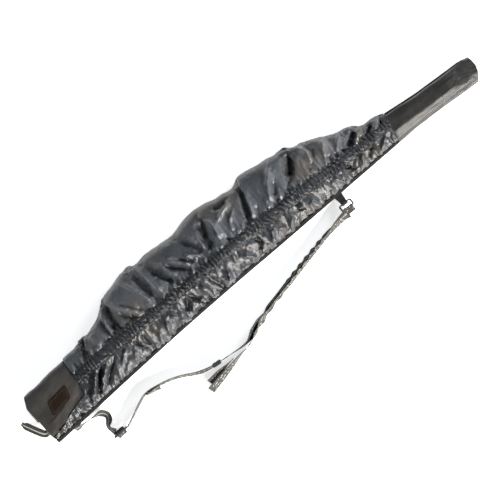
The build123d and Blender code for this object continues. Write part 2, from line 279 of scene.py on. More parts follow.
# ---- materials ----
class Nodes:
    """Short names for building one procedural material."""

    def __init__(self, name):
        self.material = bpy.data.materials.new(name)
        self.material.use_nodes = True
        self.tree = self.material.node_tree
        self.shader = self.tree.nodes["Principled BSDF"]
        self.place = self.tree.nodes.new("ShaderNodeTexCoord").outputs["Object"]

    def node(self, kind, settings=None, **inputs):
        node = self.tree.nodes.new(kind)
        for key, value in (settings or {}).items():
            setattr(node, key, value)
        for key, value in inputs.items():
            self.feed(node.inputs[key], value)
        return node

    def feed(self, socket, value):
        if isinstance(value, bpy.types.NodeSocket):
            self.tree.links.new(value, socket)
        else:
            socket.default_value = value

    def math(self, operation, a, b=0.0, clamp=False):
        node = self.node("ShaderNodeMath", {"operation": operation, "use_clamp": clamp})
        self.feed(node.inputs[0], a)
        self.feed(node.inputs[1], b)
        return node.outputs[0]

    def scaled(self, value, factor, offset, clamp=False):
        """value * factor + offset"""
        return self.math("ADD", self.math("MULTIPLY", value, factor), offset, clamp)

    def noise(self, scale, detail=3.0, roughness=0.5, distortion=0.0):
        return self.node("ShaderNodeTexNoise", Vector=self.place, Scale=scale, Detail=detail,
                         Roughness=roughness, Distortion=distortion).outputs["Fac"]

    def wave(self, direction, scale, distortion):
        return self.node("ShaderNodeTexWave", {"bands_direction": direction}, Vector=self.place,
                         Scale=scale, Distortion=distortion).outputs["Fac"]

    def attribute(self, name, output):
        return self.node("ShaderNodeAttribute", {"attribute_name": name}).outputs[output]

    def ramp(self, value, *stops):
        node = self.node("ShaderNodeValToRGB", Fac=value)
        ramp = node.color_ramp
        while len(ramp.elements) < len(stops):
            ramp.elements.new(0.5)
        for element, (position, color) in zip(ramp.elements, stops):
            element.position = position
            element.color = (*color, 1)
        return node.outputs["Color"]

    def mix(self, factor, a, b, blend="MIX"):
        node = self.node("ShaderNodeMix", {"data_type": "RGBA", "blend_type": blend}, Factor=factor)
        for side, value in (("A", a), ("B", b)):
            socket = next(s for s in node.inputs if s.name == side and s.type == "RGBA")
            self.feed(socket, (*value, 1) if isinstance(value, tuple) else value)
        return next(s for s in node.outputs if s.type == "RGBA")

    def bump(self, height, distance, strength=1.0, below=None):
        node = self.node("ShaderNodeBump", Strength=strength, Distance=distance, Height=height)
        if below is not None:
            self.feed(node.inputs["Normal"], below)
        return node.outputs["Normal"]

    def finish(self, color, roughness, normal=None, **constants):
        self.feed(self.shader.inputs["Base Color"], (*color, 1) if isinstance(color, tuple) else color)
        self.feed(self.shader.inputs["Roughness"], roughness)
        if normal is not None:
            self.feed(self.shader.inputs["Normal"], normal)
        for key, value in constants.items():
            self.shader.inputs[key.replace("_", " ")].default_value = value
        return self.material


BLACK, WHITE = (0, 0, 0), (1, 1, 1)


def gray(tone):
    return (tone, tone, tone)


def nylon(name, dark, light, rough, crinkle, gloss, warm=None):
    """Satin nylon: fine plain weave, fine crinkles, cloudy wear in the sheen, and painted shade: darker in
    its hollows, lighter on its ridges.
    """
    n = Nodes(name)
    crease = n.noise(34.0, 5.0, 0.55, distortion=0.6)
    fine = n.noise(130.0, 3.0, 0.5, distortion=0.3)
    threads = n.math("ADD", n.wave("X", 420.0, 0.6), n.wave("Y", 420.0, 0.6))
    cloud = n.noise(7.0, 4.0, 0.6)
    color = n.ramp(cloud, (0.32, dark), (0.68, light))
    if warm:
        color = n.mix(n.ramp(n.noise(9.0, 2.0, 0.5), (0.52, BLACK), (0.7, gray(0.7))), color, warm)
    speck = n.ramp(n.noise(900.0, 1.0), (0.35, gray(0.86)), (0.65, gray(1.12)))
    color = n.mix(0.7, color, speck, "MULTIPLY")
    # Painted shade from the fold attribute: the colour is darkened in the hollows and kept lighter on the
    # ridges.
    depth = n.scaled(n.attribute("fold", "Fac"), 0.07, 0.5, True)
    shade = n.ramp(depth, (0.1, gray(0.3)), (0.5, gray(0.7)), (0.85, WHITE))
    color = n.mix(1.0, color, shade, "MULTIPLY")
    sheen_wear = n.scaled(cloud, 0.16, rough - 0.08)
    normal = n.bump(crease, crinkle, 0.9)
    normal = n.bump(fine, crinkle * 0.28, 0.8, normal)
    normal = n.bump(threads, 0.00012, 0.5, normal)
    return n.finish(color, sheen_wear, normal, Sheen_Weight=0.05, Sheen_Roughness=0.4, IOR=1.5,
                    Specular_IOR_Level=gloss)


def ribbed_fabric(name, color, pitch=0.0012, rough=0.8):
    """Matte elastic or binding: ribs across the strip, with painted shade in the ribs' hollows and lighter
    crests where the lint noise is high.
    """
    n = Nodes(name)
    ribs = n.wave("X", 0.31 / pitch, 0.8)
    lint = n.noise(260.0, 3.0, 0.7)
    # Painted shade: the colour follows the ribs, darker in their hollows and lighter on their crests,
    # flecked by the lint noise.
    light = tuple(2.6 * c + 0.004 for c in color)
    shade = n.ramp(n.math("MULTIPLY", lint, ribs), (0.12, color), (0.8, light))
    normal = n.bump(ribs, 0.0005, 0.8)
    normal = n.bump(lint, 0.0003, 0.6, normal)
    return n.finish(shade, rough, normal, Specular_IOR_Level=0.25)


RIB_PITCH, YARN_PITCH = 0.0021, 0.0014
STRIPE_HALF, FLECKED_HALF = 0.0012, 0.0088  # from the webbing's middle line


def webbing(name, ground, fleck=None, stripe=None, back=None):
    """Woven webbing, by its place along and across the strip: herringbone ribs, short woven flecks or a
    plain centre stripe."""
    n = Nodes(name)
    place = n.attribute("strip", "Vector")
    along, across, face = n.node("ShaderNodeSeparateXYZ", Vector=place).outputs
    slope = n.math("ADD", along, n.math("ABSOLUTE", across))
    rib = n.math("SINE", n.math("MULTIPLY", slope, 2 * pi / RIB_PITCH))
    yarn = n.math("SINE", n.math("MULTIPLY", across, 2 * pi / YARN_PITCH))
    height = n.math("ADD", n.math("MULTIPLY", rib, 0.5), n.math("MULTIPLY", yarn, 0.35))
    lint = n.noise(420.0, 3.0, 0.6)
    worn = tuple(c * 1.9 + 0.02 for c in ground)
    color = n.mix(n.ramp(lint, (0.3, BLACK), (0.75, gray(0.5))), ground, worn)
    if fleck:
        stretched = n.node("ShaderNodeMapping", Vector=place, Scale=(150.0, 230.0, 0.0)).outputs["Vector"]
        blocks = n.node("ShaderNodeTexVoronoi", {"feature": "F1"}, Vector=stretched, Scale=1.0,
                        Randomness=0.85)
        inside = n.math("LESS_THAN", n.math("ABSOLUTE", across), FLECKED_HALF)
        mask = n.math("MULTIPLY", n.math("LESS_THAN", blocks.outputs["Distance"], 0.33), inside)
        color = n.mix(mask, color, fleck)
    if stripe:
        mask = n.math("LESS_THAN", n.math("ABSOLUTE", across), STRIPE_HALF)
        color = n.mix(mask, color, stripe)
    # The back face is painted near black: painted shade for the strap's turned-away side.
    if back:
        color = n.mix(n.math("GREATER_THAN", face, 0.5), color, back)
    normal = n.bump(height, 0.0004, 0.9)
    normal = n.bump(lint, 0.0002, 0.5, normal)
    return n.finish(color, 0.72, normal, Sheen_Weight=0.04, Sheen_Roughness=0.5, Specular_IOR_Level=0.25)


def leather(name):
    n = Nodes(name)
    cells = n.node("ShaderNodeTexVoronoi", {"feature": "DISTANCE_TO_EDGE"}, Vector=n.place, Scale=620.0,
                   Randomness=1.0)
    grain = n.ramp(cells.outputs["Distance"], (0.0, BLACK), (0.18, WHITE))
    cloud = n.noise(60.0, 4.0, 0.6)
    color = n.ramp(cloud, (0.3, (0.009, 0.005, 0.003)), (0.75, (0.019, 0.0105, 0.006)))
    color = n.mix(0.6, color, n.ramp(grain, (0.0, (0.55, 0.5, 0.48)), (0.6, WHITE)), "MULTIPLY")
    normal = n.bump(grain, 0.00035, 0.8)
    normal = n.bump(cloud, 0.0006, 0.5, normal)
    return n.finish(color, n.scaled(cloud, 0.25, 0.6), normal, Specular_IOR_Level=0.1)


def moulded_plastic(name, tone):
    n = Nodes(name)
    grain = n.noise(1500.0, 2.0, 0.5)
    scuff = n.noise(90.0, 5.0, 0.65, distortion=1.0)
    color = n.ramp(scuff, (0.45, (tone, tone, tone * 1.08)), (0.8, (tone * 3.2, tone * 3.2, tone * 3.3)))
    return n.finish(color, n.scaled(scuff, 0.3, 0.3), n.bump(grain, 0.0001, 0.7), IOR=1.5)


def blackened_wire(name):
    n = Nodes(name)
    wear = n.noise(180.0, 4.0, 0.6)
    color = n.ramp(wear, (0.45, (0.02, 0.02, 0.022)), (0.78, (0.22, 0.21, 0.2)))
    rough = n.ramp(wear, (0.4, gray(0.5)), (0.8, gray(0.25)))
    return n.finish(color, rough, n.bump(wear, 0.0001, 0.5), Metallic=0.85)


def thread(name, tone):
    n = Nodes(name)
    fluff = n.noise(1600.0, 2.0, 0.6)
    color = n.ramp(fluff, (0.3, tuple(c * 0.6 for c in tone)), (0.7, tone))
    return n.finish(color, 0.8, n.bump(fluff, 0.0002, 0.6), Specular_IOR_Level=0.2)


def floor_finish(name):
    n = Nodes(name)
    dust = n.noise(3.0, 3.0, 0.5)
    color = n.ramp(dust, (0.3, gray(0.9)), (0.7, gray(0.93)))
    return n.finish(color, 0.85, n.bump(n.noise(220.0, 2.0), 0.0002, 0.3),
                    Emission_Color=(1, 1, 1, 1), Emission_Strength=0.66)


BODY = nylon("body_nylon", (0.044, 0.049, 0.059), (0.082, 0.089, 0.102), rough=0.31, crinkle=0.0016,
             gloss=0.6, warm=(0.096, 0.083, 0.07))
# A darker copy of the body's nylon for the lower panels: painted shade for their steep folds and the hem's
# shadow.
LOWER_SHADED_NYLON = nylon("lower_nylon_painted_shade", (0.017, 0.019, 0.024), (0.047, 0.051, 0.058), rough=0.27, crinkle=0.0011,
              gloss=0.55, warm=(0.062, 0.053, 0.046))
POCKET = nylon("pocket_nylon", (0.0255, 0.0238, 0.022), (0.048, 0.0442, 0.04), rough=0.45,
               crinkle=0.0012, gloss=0.38)
SLEEVE = nylon("sleeve_nylon", (0.0084, 0.0078, 0.0068), (0.0155, 0.0142, 0.012), rough=0.34,
               crinkle=0.0006, gloss=0.58)
CASING = nylon("shirred_nylon", (0.01, 0.0112, 0.0135), (0.026, 0.0285, 0.033), rough=0.32,
               crinkle=0.0012, gloss=0.35)
BINDING = ribbed_fabric("black_binding", (0.003, 0.003, 0.0032), rough=0.9)
ELASTIC = ribbed_fabric("elastic_tape", (0.02, 0.02, 0.021), pitch=0.002, rough=0.7)
TRIM = ribbed_fabric("seam_trim", (0.012, 0.012, 0.0125))
STRIPED = webbing("striped_webbing", (0.02, 0.021, 0.02), stripe=(0.36, 0.36, 0.33))
# The strap's back face is painted near black as shade.
STRAP = webbing("strap_webbing", (0.03, 0.03, 0.028), fleck=(0.33, 0.31, 0.29), back=(0.005, 0.005, 0.005))
LEATHER = leather("patch_leather")
PLASTIC = moulded_plastic("buckle_plastic", 0.012)
WIRE = blackened_wire("ring_steel")
DARK_THREAD = thread("dark_thread", (0.012, 0.012, 0.013))
PALE_THREAD = thread("pale_thread", (0.09, 0.08, 0.068))

# ---- camera, lights and floor ----
# The camera looks straight down. In its picture the cover rises at VIEW_TURN from the lower left.
VIEW_TURN = radians(40.9)
VIEW_U, VIEW_V = 601.4, 51.1
MIDDLE_HEIGHT = 0.03  # the part of the cover that the picture's scale is right for
PICTURE_WIDTH = 1.12
CAMERA_LENS = 120.0
SENSOR = 36.0
CAMERA_HEIGHT = PICTURE_WIDTH * CAMERA_LENS / SENSOR
camera_data = bpy.data.cameras.new("camera")
camera_data.lens = CAMERA_LENS
camera_data.sensor_width = SENSOR
camera = bpy.data.objects.new("camera", camera_data)
bpy.context.collection.objects.link(camera)
camera.location = spot(VIEW_U, VIEW_V, (CAMERA_HEIGHT + MIDDLE_HEIGHT) / MM)
camera.rotation_euler = (0, 0, -VIEW_TURN)
bpy.context.scene.camera = camera


def lamp(name, place, size, power, tint):
    data = bpy.data.lights.new(name, "AREA")
    data.shape = "RECTANGLE"
    data.size, data.size_y = size
    data.energy = power
    data.color = tint
    lamp_object = bpy.data.objects.new(name, data)
    lamp_object.location = place
    aim = Vector((0, 0, MIDDLE_HEIGHT)) - Vector(place)
    lamp_object.rotation_euler = aim.to_track_quat("-Z", "Y").to_euler()
    bpy.context.collection.objects.link(lamp_object)


lamp("key_light", (0.4, -2.75, 2.1), (1.1, 0.5), 265, (1, 0.97, 0.93))
lamp("side_light", (-0.9, -3.0, 1.4), (1.2, 0.5), 95, (1, 0.95, 0.88))
lamp("end_light", (3.4, 0.6, 1.6), (1.1, 1.1), 75, (0.92, 0.97, 1))
lamp("fill_light", (-1.2, 2.4, 2.4), (1.8, 1.0), 20, (0.86, 0.94, 1))
world = bpy.data.worlds.new("soft_white")
world.use_nodes = True
background = world.node_tree.nodes["Background"].inputs
background["Color"].default_value = (1, 1, 1, 1)
background["Strength"].default_value = 0.14
bpy.context.scene.world = world
bpy.context.scene.view_settings.view_transform = "Standard"

FLOOR_REACH, FLOOR_LINES = 2.4, 25
floor_span = np.linspace(-FLOOR_REACH, FLOOR_REACH, FLOOR_LINES)
floor_points = [(x, y, 0.0) for x in floor_span for y in floor_span]
floor_faces = grid_faces(FLOOR_LINES, FLOOR_LINES)
floor = mesh_piece("floor", floor_points, floor_faces, floor_finish("floor_finish"))

# ---- cloth: gathered panels, simulated over the cover's own form ----
GATHER = 1.14  # cloth length over the length that it is gathered to
SPARE_ACROSS = 1.06  # the same across it, for the simulation
CUT_ACROSS = 1.12  # the same as declared, set so that the drawn folds stay within the cut
STEP_U = 3.6
STEP_V = 3.9
FORM_INSET = 4.5  # from the skin to the form under the cloth, except towards the crown
CROWN_INSET = -0.8
CLOTH_STEPS = 36
PANEL_OVERLAP = 3  # how far the panels run under the bands and the hem
PANEL_LOW = 0.8  # the least height that a panel starts from
FINE_PITCH, BROAD_PITCH = 15.0, 43.0  # of the folds that a panel starts with
FINE_HEIGHT, BROAD_HEIGHT = 2.0, 3.2
WIDE_REACH = 34.0  # from a gathered edge to where only the broad folds are left
CLOTH_SETTINGS = {
    "quality": 5, "mass": 0.12, "tension_stiffness": 12, "compression_stiffness": 12,
    "tension_damping": 12, "compression_damping": 12, "shear_stiffness": 4, "shear_damping": 6,
    "bending_damping": 1.5, "air_damping": 4,
}


def gather_shape(us, grid, normal, lengths, seed):
    """Starts a panel off with folds: fine at its gathered edges, wide between them."""
    columns = grid.shape[1]
    share = np.linspace(0, 1, columns)[None, :]
    u = us[:, None]
    reach = np.minimum(share, 1 - share) * lengths[:, None]
    end_reach = np.minimum(u - us[0], us[-1] - u)
    reach = np.minimum(reach, end_reach + 4)
    wide = np.clip(reach / WIDE_REACH, 0, 1)
    bend = 14 * noise(u / 70.0, share * 2.0 + 5, seed)
    fine = np.sin(2 * pi * ((u + 0.4 * bend) / FINE_PITCH + 0.5 * noise(u / 30.0, share, seed + 1)))
    broad = np.sin(2 * pi * ((u + bend) / BROAD_PITCH + 0.55 * noise(u / 60.0, share * 1.5, seed + 2)))
    height = FINE_HEIGHT * fine * (1 - wide)
    height = height + BROAD_HEIGHT * broad * wide * np.clip(1.4 - reach / 90.0, 0.25, 1)
    height *= np.clip(reach / 7.0, 0.25, 1)
    return grid + normal * height[:, :, None]


def inner_form():
    """The form under the cloth, which only the simulation sees."""
    us = np.linspace(BUTT_U + 6, TIP_U - 6, 160)
    turns = np.linspace(0, 2, 49)[:-1]
    v, z = outline(us[:, None], turns[None, :])
    middle_v = (mouth_line(us) + crown_line(us))[:, None] / 2
    middle_z = depth_line(us)[:, None] / 2
    inset_v = np.where(v > middle_v, CROWN_INSET, FORM_INSET)
    shrink_v = 1 - inset_v / ((crown_line(us) - mouth_line(us))[:, None] / 2)
    shrink_z = 1 - FORM_INSET / middle_z
    grid = np.stack([np.broadcast_to(us[:, None], v.shape), middle_v + (v - middle_v) * shrink_v,
                     middle_z + (z - middle_z) * shrink_z], axis=2)
    form = grid_piece("inner_form", grid, BODY, closed=True)
    form.modifiers.new("collision", "COLLISION")
    form.collision.thickness_outer = 0.0015
    form.collision.cloth_friction = 6.0
    return form


def add_cloth(piece, rest_points, pinned, stiffness):
    """Gives a piece a Cloth modifier whose unstretched shape is its flat cut."""
    piece.shape_key_add(name="Basis")
    cut = piece.shape_key_add(name="flat_cut")
    cut.data.foreach_set("co", (rest_points * MM).reshape(-1))
    cut.value = 0.0
    group = piece.vertex_groups.new(name="sewn")
    group.add([int(i) for i in pinned], 1.0, "REPLACE")
    cloth = piece.modifiers.new("cloth", "CLOTH")
    settings = cloth.settings
    settings.rest_shape_key = cut
    settings.vertex_group_mass = "sewn"
    settings.bending_stiffness = stiffness
    for key, value in CLOTH_SETTINGS.items():
        setattr(settings, key, value)
    settings.effector_weights.gravity = 0.25
    cloth.collision_settings.distance_min = 0.0015
    cloth.collision_settings.collision_quality = 2
    cloth.collision_settings.use_self_collision = False


def flat_cut(us, lengths, columns):
    """The flat cut of a gathered panel, laid out in the plane, in mm."""
    share = np.linspace(0, 1, columns)[None, :]
    cut = np.zeros((len(us), columns, 3))
    cut[:, :, 0] = (us * GATHER)[:, None]
    cut[:, :, 1] = share * (lengths * SPARE_ACROSS)[:, None]
    return cut.reshape(-1, 3)


def edge_indices(rows, columns):
    index = np.arange(rows * columns).reshape(rows, columns)
    return np.concatenate([index[0], index[-1], index[1:-1, 0], index[1:-1, -1]])


def gathered_panel(name, us, turn_from, turn_to, seed, stiffness, material):
    """A panel on the skin between two turns, with its folds started and its cloth ready to simulate."""
    rough_length = float(np.max(skin(us, turn_from, turn_to, 3)[2]))
    columns = int(round(rough_length / STEP_V)) + 1
    grid, normal, lengths = skin(us, turn_from, turn_to, columns)
    grid = gather_shape(us, grid, normal, lengths, seed)
    keep_above(PANEL_LOW, grid)
    piece = grid_piece(name, grid, material)
    add_cloth(piece, flat_cut(us, lengths, columns), edge_indices(len(us), columns), stiffness)
    piece["flat_width"] = float(np.mean(lengths) * CUT_ACROSS * MM)
    piece["flat_length"] = float((us[-1] - us[0]) * GATHER * MM)
    return piece


def simulate(pieces):
    """Runs the cloth of the given pieces over the form and the floor, and applies the result."""
    form = inner_form()
    ground = mesh_piece("ground", floor_points, floor_faces, BODY)
    ground.modifiers.new("collision", "COLLISION")
    ground.collision.thickness_outer = 0.001
    scene = bpy.context.scene
    for piece in pieces:
        cache = piece.modifiers["cloth"].point_cache
        cache.frame_start, cache.frame_end = 1, CLOTH_STEPS
    for step in range(1, CLOTH_STEPS + 1):
        scene.frame_set(step)
    for piece in pieces:
        apply_modifiers(piece)
    for helper in (form, ground):
        bpy.data.objects.remove(helper)
    scene.frame_set(1)


upper_us = np.arange(SEAM_U + 3, SLEEVE_U + 12, STEP_U)
upper_cover = gathered_panel(
    "upper_cover", upper_us, turn_at(upper_us, band_top(upper_us) - PANEL_OVERLAP),
    turn_at(upper_us, band_top(upper_us) - PANEL_OVERLAP, "left"), 11, 0.6, BODY)
lower_us = np.arange(0.5, SLEEVE_U + 6, STEP_U)


def lower_top(u):
    """The lower panel's upper edge: the pocket's slanting seam, then the waist band."""
    rise = np.interp(u, (0, 14, 34, 56, 90, 112, 119), (21, 25, 29, 37, 46, 50, 74))
    return np.where(u < SEAM_U + 2, rise, band_low(u) + PANEL_OVERLAP)


lower_right = gathered_panel(
    "lower_cover_right_cloth", lower_us, turn_at(lower_us, hem_top(lower_us) - PANEL_OVERLAP),
    turn_at(lower_us, lower_top(lower_us)), 41, 0.3, LOWER_SHADED_NYLON)
lower_left = gathered_panel(
    "lower_cover_left_cloth", lower_us, turn_at(lower_us, lower_top(lower_us), "left"),
    turn_at(lower_us, hem_top(lower_us) - PANEL_OVERLAP, "left"), 71, 0.3, LOWER_SHADED_NYLON)
simulate([upper_cover, lower_right, lower_left])
for panel, slot_nodes in ((upper_cover, ("upper_cover_right", "upper_cover_left")),
                          (lower_right, ("lower_cover_right",)), (lower_left, ("lower_cover_left",))):
    smooth_piece(panel)
    attach("cover", panel, "body_nylon", *slot_nodes)


# Folds on the right side. Each is (height, width towards the butt, width towards the
# muzzle, its line of (u, v) places from the crown down), in mm: ridges are positive, hollows negative.
UPPER_FOLDS = [
    (-7, 7, 4, [(190, 149), (176, 132), (166, 112)]), (4, 4, 9, [(196, 142), (206, 122), (217, 104)]),
    (3, 3, 8, [(222, 138), (232, 118), (240, 104)]), (-6, 4, 4, [(245, 158), (243, 130), (242, 106)]),
    (5, 3, 5, [(262, 170), (250, 130), (246, 106)]), (-12, 6, 9, [(276, 182), (264, 146), (258, 108)]),
    (6, 7, 8, [(279, 176), (303, 138), (330, 106)]), (-5, 4, 6, [(284, 140), (296, 120), (308, 103)]),
    (-4, 3, 4, [(290, 162), (318, 128), (340, 101)]), (6, 5, 6, [(332, 188), (354, 140), (364, 101)]),
    (-9, 5, 6, [(360, 192), (368, 156), (375, 108)]), (5, 4, 10, [(378, 188), (386, 134), (398, 106)]),
    (-9, 5, 7, [(397, 184), (416, 134), (430, 103)]), (4, 4, 5, [(410, 184), (432, 140), (444, 110)]),
    (-7, 4, 5, [(434, 154), (452, 128), (470, 106)]), (7, 4, 5, [(442, 158), (464, 134), (484, 110)]),
    (-5, 3, 4, [(466, 142), (480, 126), (492, 108)]), (5, 3, 5, [(478, 138), (500, 124), (510, 110)]),
    (-6, 5, 6, [(491, 178), (513, 138), (518, 112)]), (4, 5, 9, [(504, 178), (526, 142), (530, 110)]),
    (-12, 9, 7, [(563, 188), (544, 138), (532, 104)]), (6, 5, 9, [(566, 176), (574, 140), (566, 108)]),
    (5, 4, 5, [(640, 162), (606, 154), (584, 146)]), (-5, 4, 5, [(636, 172), (612, 170), (594, 178)]),
    (4, 4, 5, [(632, 146), (608, 126), (600, 104)]), (-9, 5, 7, [(678, 186), (656, 130), (638, 98)]),
    (6, 4, 9, [(684, 190), (664, 122), (652, 96)]), (7, 6, 12, [(758, 168), (726, 138), (702, 96)]),
    (-5, 4, 5, [(742, 134), (728, 118), (720, 104)]), (-15, 12, 6, [(808, 172), (796, 138), (770, 112)]),
    (7, 4, 9, [(820, 162), (838, 134), (836, 104)]), (-6, 5, 5, [(842, 152), (852, 130), (834, 106)]),
    (6, 5, 8, [(884, 138), (868, 112), (860, 96)]), (4, 4, 6, [(922, 118), (904, 104), (890, 90)]),
    (-9, 6, 5, [(956, 104), (938, 92), (912, 78)]), (6, 4, 5, [(972, 96), (944, 84), (928, 74)]),
    (-6, 4, 4, [(994, 92), (974, 78), (958, 66)]), (5, 4, 5, [(1010, 88), (994, 74), (978, 60)]),
    (-5, 4, 4, [(1018, 84), (1008, 62), (998, 46)]),
]
LOWER_FOLDS = [
    (6, 4, 5, [(168, 74), (142, 48), (119, 24)]), (-5, 4, 4, [(184, 74), (156, 48), (132, 24)]),
    (6, 4, 5, [(206, 74), (170, 48), (144, 24)]), (-5, 4, 4, [(220, 70), (186, 46), (158, 26)]),
    (4, 3, 5, [(250, 66), (232, 54), (222, 46)]), (4, 3, 5, [(266, 56), (254, 42), (244, 30)]),
    (-5, 3, 4, [(272, 72), (278, 50), (290, 28)]), (-5, 4, 5, [(291, 72), (296, 50), (296, 30)]),
    (7, 7, 6, [(364, 60), (350, 42), (336, 24)]), (5, 6, 7, [(364, 60), (382, 44), (398, 26)]),
    (-6, 6, 6, [(426, 70), (420, 52), (408, 34)]), (-5, 5, 6, [(428, 70), (440, 52), (446, 34)]),
    (5, 4, 6, [(462, 66), (470, 48), (474, 28)]), (-4, 4, 4, [(492, 70), (496, 48), (502, 28)]),
    (6, 6, 6, [(536, 56), (528, 40), (518, 28)]), (5, 5, 6, [(580, 56), (592, 42), (602, 28)]),
    (-5, 4, 5, [(624, 70), (630, 48), (620, 30)]), (7, 6, 6, [(672, 64), (660, 46), (650, 28)]),
    (5, 5, 6, [(672, 64), (684, 46), (694, 28)]), (6, 5, 5, [(722, 60), (714, 44), (704, 26)]),
    (-6, 6, 6, [(750, 66), (748, 54), (742, 38)]), (5, 5, 6, [(772, 50), (778, 40), (784, 26)]),
    (6, 5, 7, [(842, 54), (850, 42), (862, 28)]), (-5, 4, 5, [(880, 56), (890, 42), (892, 28)]),
    (5, 4, 5, [(930, 52), (920, 40), (908, 26)]), (-4, 4, 4, [(960, 52), (950, 40), (938, 26)]),
    (4, 3, 4, [(1000, 48), (980, 36), (966, 26)]),
]


def gathers(edge, up, seed, pitch, reach, height, lean):
    """Short sharp folds that fan out from a gathered edge. up is 1 above the edge and -1 below it."""
    draw = np.random.default_rng(seed)
    folds = []
    u = 24.0
    while u < SLEEVE_U - 6:
        long = reach * draw.uniform(0.45, 1.2)
        slip = lean + draw.uniform(-0.45, 0.45)
        v = float(edge(u))
        start, end = (u + slip * long, v + up * long), (u, v)
        line = [start, ((start[0] + end[0]) / 2 + draw.uniform(-1.5, 1.5), (start[1] + end[1]) / 2), end]
        rise = height * draw.uniform(0.5, 1.25) * (1 if draw.uniform() < 0.62 else -1)
        folds.append((rise, draw.uniform(1.8, 3.4), draw.uniform(2.2, 5.0), line if up > 0 else line[::-1]))
        u += pitch * draw.uniform(0.6, 1.5)
    return folds


FADED_U, FADED_V = 45, 30  # so far from its line a fold no longer shows


def sculpt(piece, folds, seed, strength):
    """Presses sharp folds into a piece's upper side, along its own normals."""
    points, normals, u, v = surface(piece)
    u = u + 2.6 * noise(u / 17.0, v / 17.0, seed) + 1.0 * noise(u / 6.0, v / 6.0, seed + 1)
    lift = np.zeros(len(points))
    for height, before, after, line in folds:
        us = [p[0] for p in line]
        vs = [p[1] for p in line]
        near = (u > min(us) - FADED_U) & (u < max(us) + FADED_U)
        near = near & (v > min(vs) - FADED_V) & (v < max(vs) + FADED_V)
        here_u, here_v = u[near], v[near]
        best = np.full(here_u.shape, 1e9)
        side = np.zeros(here_u.shape)
        along = np.zeros(here_u.shape)
        for k in range(len(line) - 1):
            run_u, run_v = us[k + 1] - us[k], vs[k + 1] - vs[k]
            t = ((here_u - us[k]) * run_u + (here_v - vs[k]) * run_v) / (run_u ** 2 + run_v ** 2)
            t = np.clip(t, 0, 1)
            off_u, off_v = here_u - us[k] - t * run_u, here_v - vs[k] - t * run_v
            gap = np.hypot(off_u, off_v)
            closer = gap < best
            best = np.where(closer, gap, best)
            side = np.where(closer, run_u * off_v - run_v * off_u, side)
            along = np.where(closer, (k + t) / (len(line) - 1), along)
        width = np.where(side > 0, after, before)
        fade = np.clip(along / 0.25, 0.3, 1) * np.clip((1 - along) / 0.2, 0.35, 1)
        lift[near] += height * fade * np.exp(-((best / width) ** 1.3))
    lift *= strength * np.clip(normals[:, 2] * 2.5, 0, 1)
    add_painted_shade_depth(piece, lift)
    set_points(piece, points + normals * (lift * MM)[:, None])


def pucker(piece, edges, pitch, depth, reach, seed):
    """Adds the fine pleats that fade away from gathered edges, which are functions of u giving v."""
    points, normals, u, v = surface(piece)
    lift = np.zeros(len(points))
    for number, edge in enumerate(edges):
        spread = reach * (1 + 0.5 * noise(u / 22.0, 3.0, seed + number))
        fade = np.exp(-((np.abs(v - edge(u)) / spread) ** 1.5))
        lift += depth * fade * pleats(u, v, pitch, seed + 5 * number, 0.012)
    add_painted_shade_depth(piece, lift)
    points += normals * (lift * MM)[:, None]
    keep_above(0.6 * MM, points)
    set_points(piece, points)


UPPER_FOLDS += gathers(band_top, 1, 91, 15.0, 22.0, 3.4, 0.1)
sculpt(upper_cover, UPPER_FOLDS, 111, 1.45)
sculpt(lower_right, LOWER_FOLDS, 121, 2.1)
sculpt(lower_right, gathers(hem_top, 1, 92, 18.0, 22.0, 3.2, 0.25), 122, 1.3)
sculpt(lower_right, gathers(band_low, -1, 93, 21.0, 17.0, 2.4, 0.1), 123, 1.3)
pucker(upper_cover, (band_top,), 7.4, 1.9, 11.0, 101)
pucker(lower_right, (band_low, hem_top), 8.4, 1.2, 5.0, 131)
pucker(lower_left, (band_low, hem_top), 6.6, 1.5, 9.0, 161)


# ---- waist casings: shirred over their elastic, stitched along both edges ----
CASING_WIDTH, CASING_COLUMNS = 27, 17
CASING_STEP = 1.15
STITCH_LINES = (0.14, 0.86)  # shares of the width
WIDE_PLEATS, TIGHT_PLEATS = 12.5, 8.6
PLEAT_HEIGHT, STITCHED_LESS = 5.4, 2.4
TAPE_LOW = 0.9  # the least height of the elastics' middle


def elastic_tape(node, us, grid, ripple, spacing):
    """The tape inside a casing: the middle columns of a grid, rippled along its length."""
    grid[:, :, 2] += ripple * np.sin(us[:, None] / spacing)
    keep_above(TAPE_LOW, grid)
    attach("cover", grid_piece(node + "_tape", grid[:, 1:-1], ELASTIC), "elastic_tape", node)


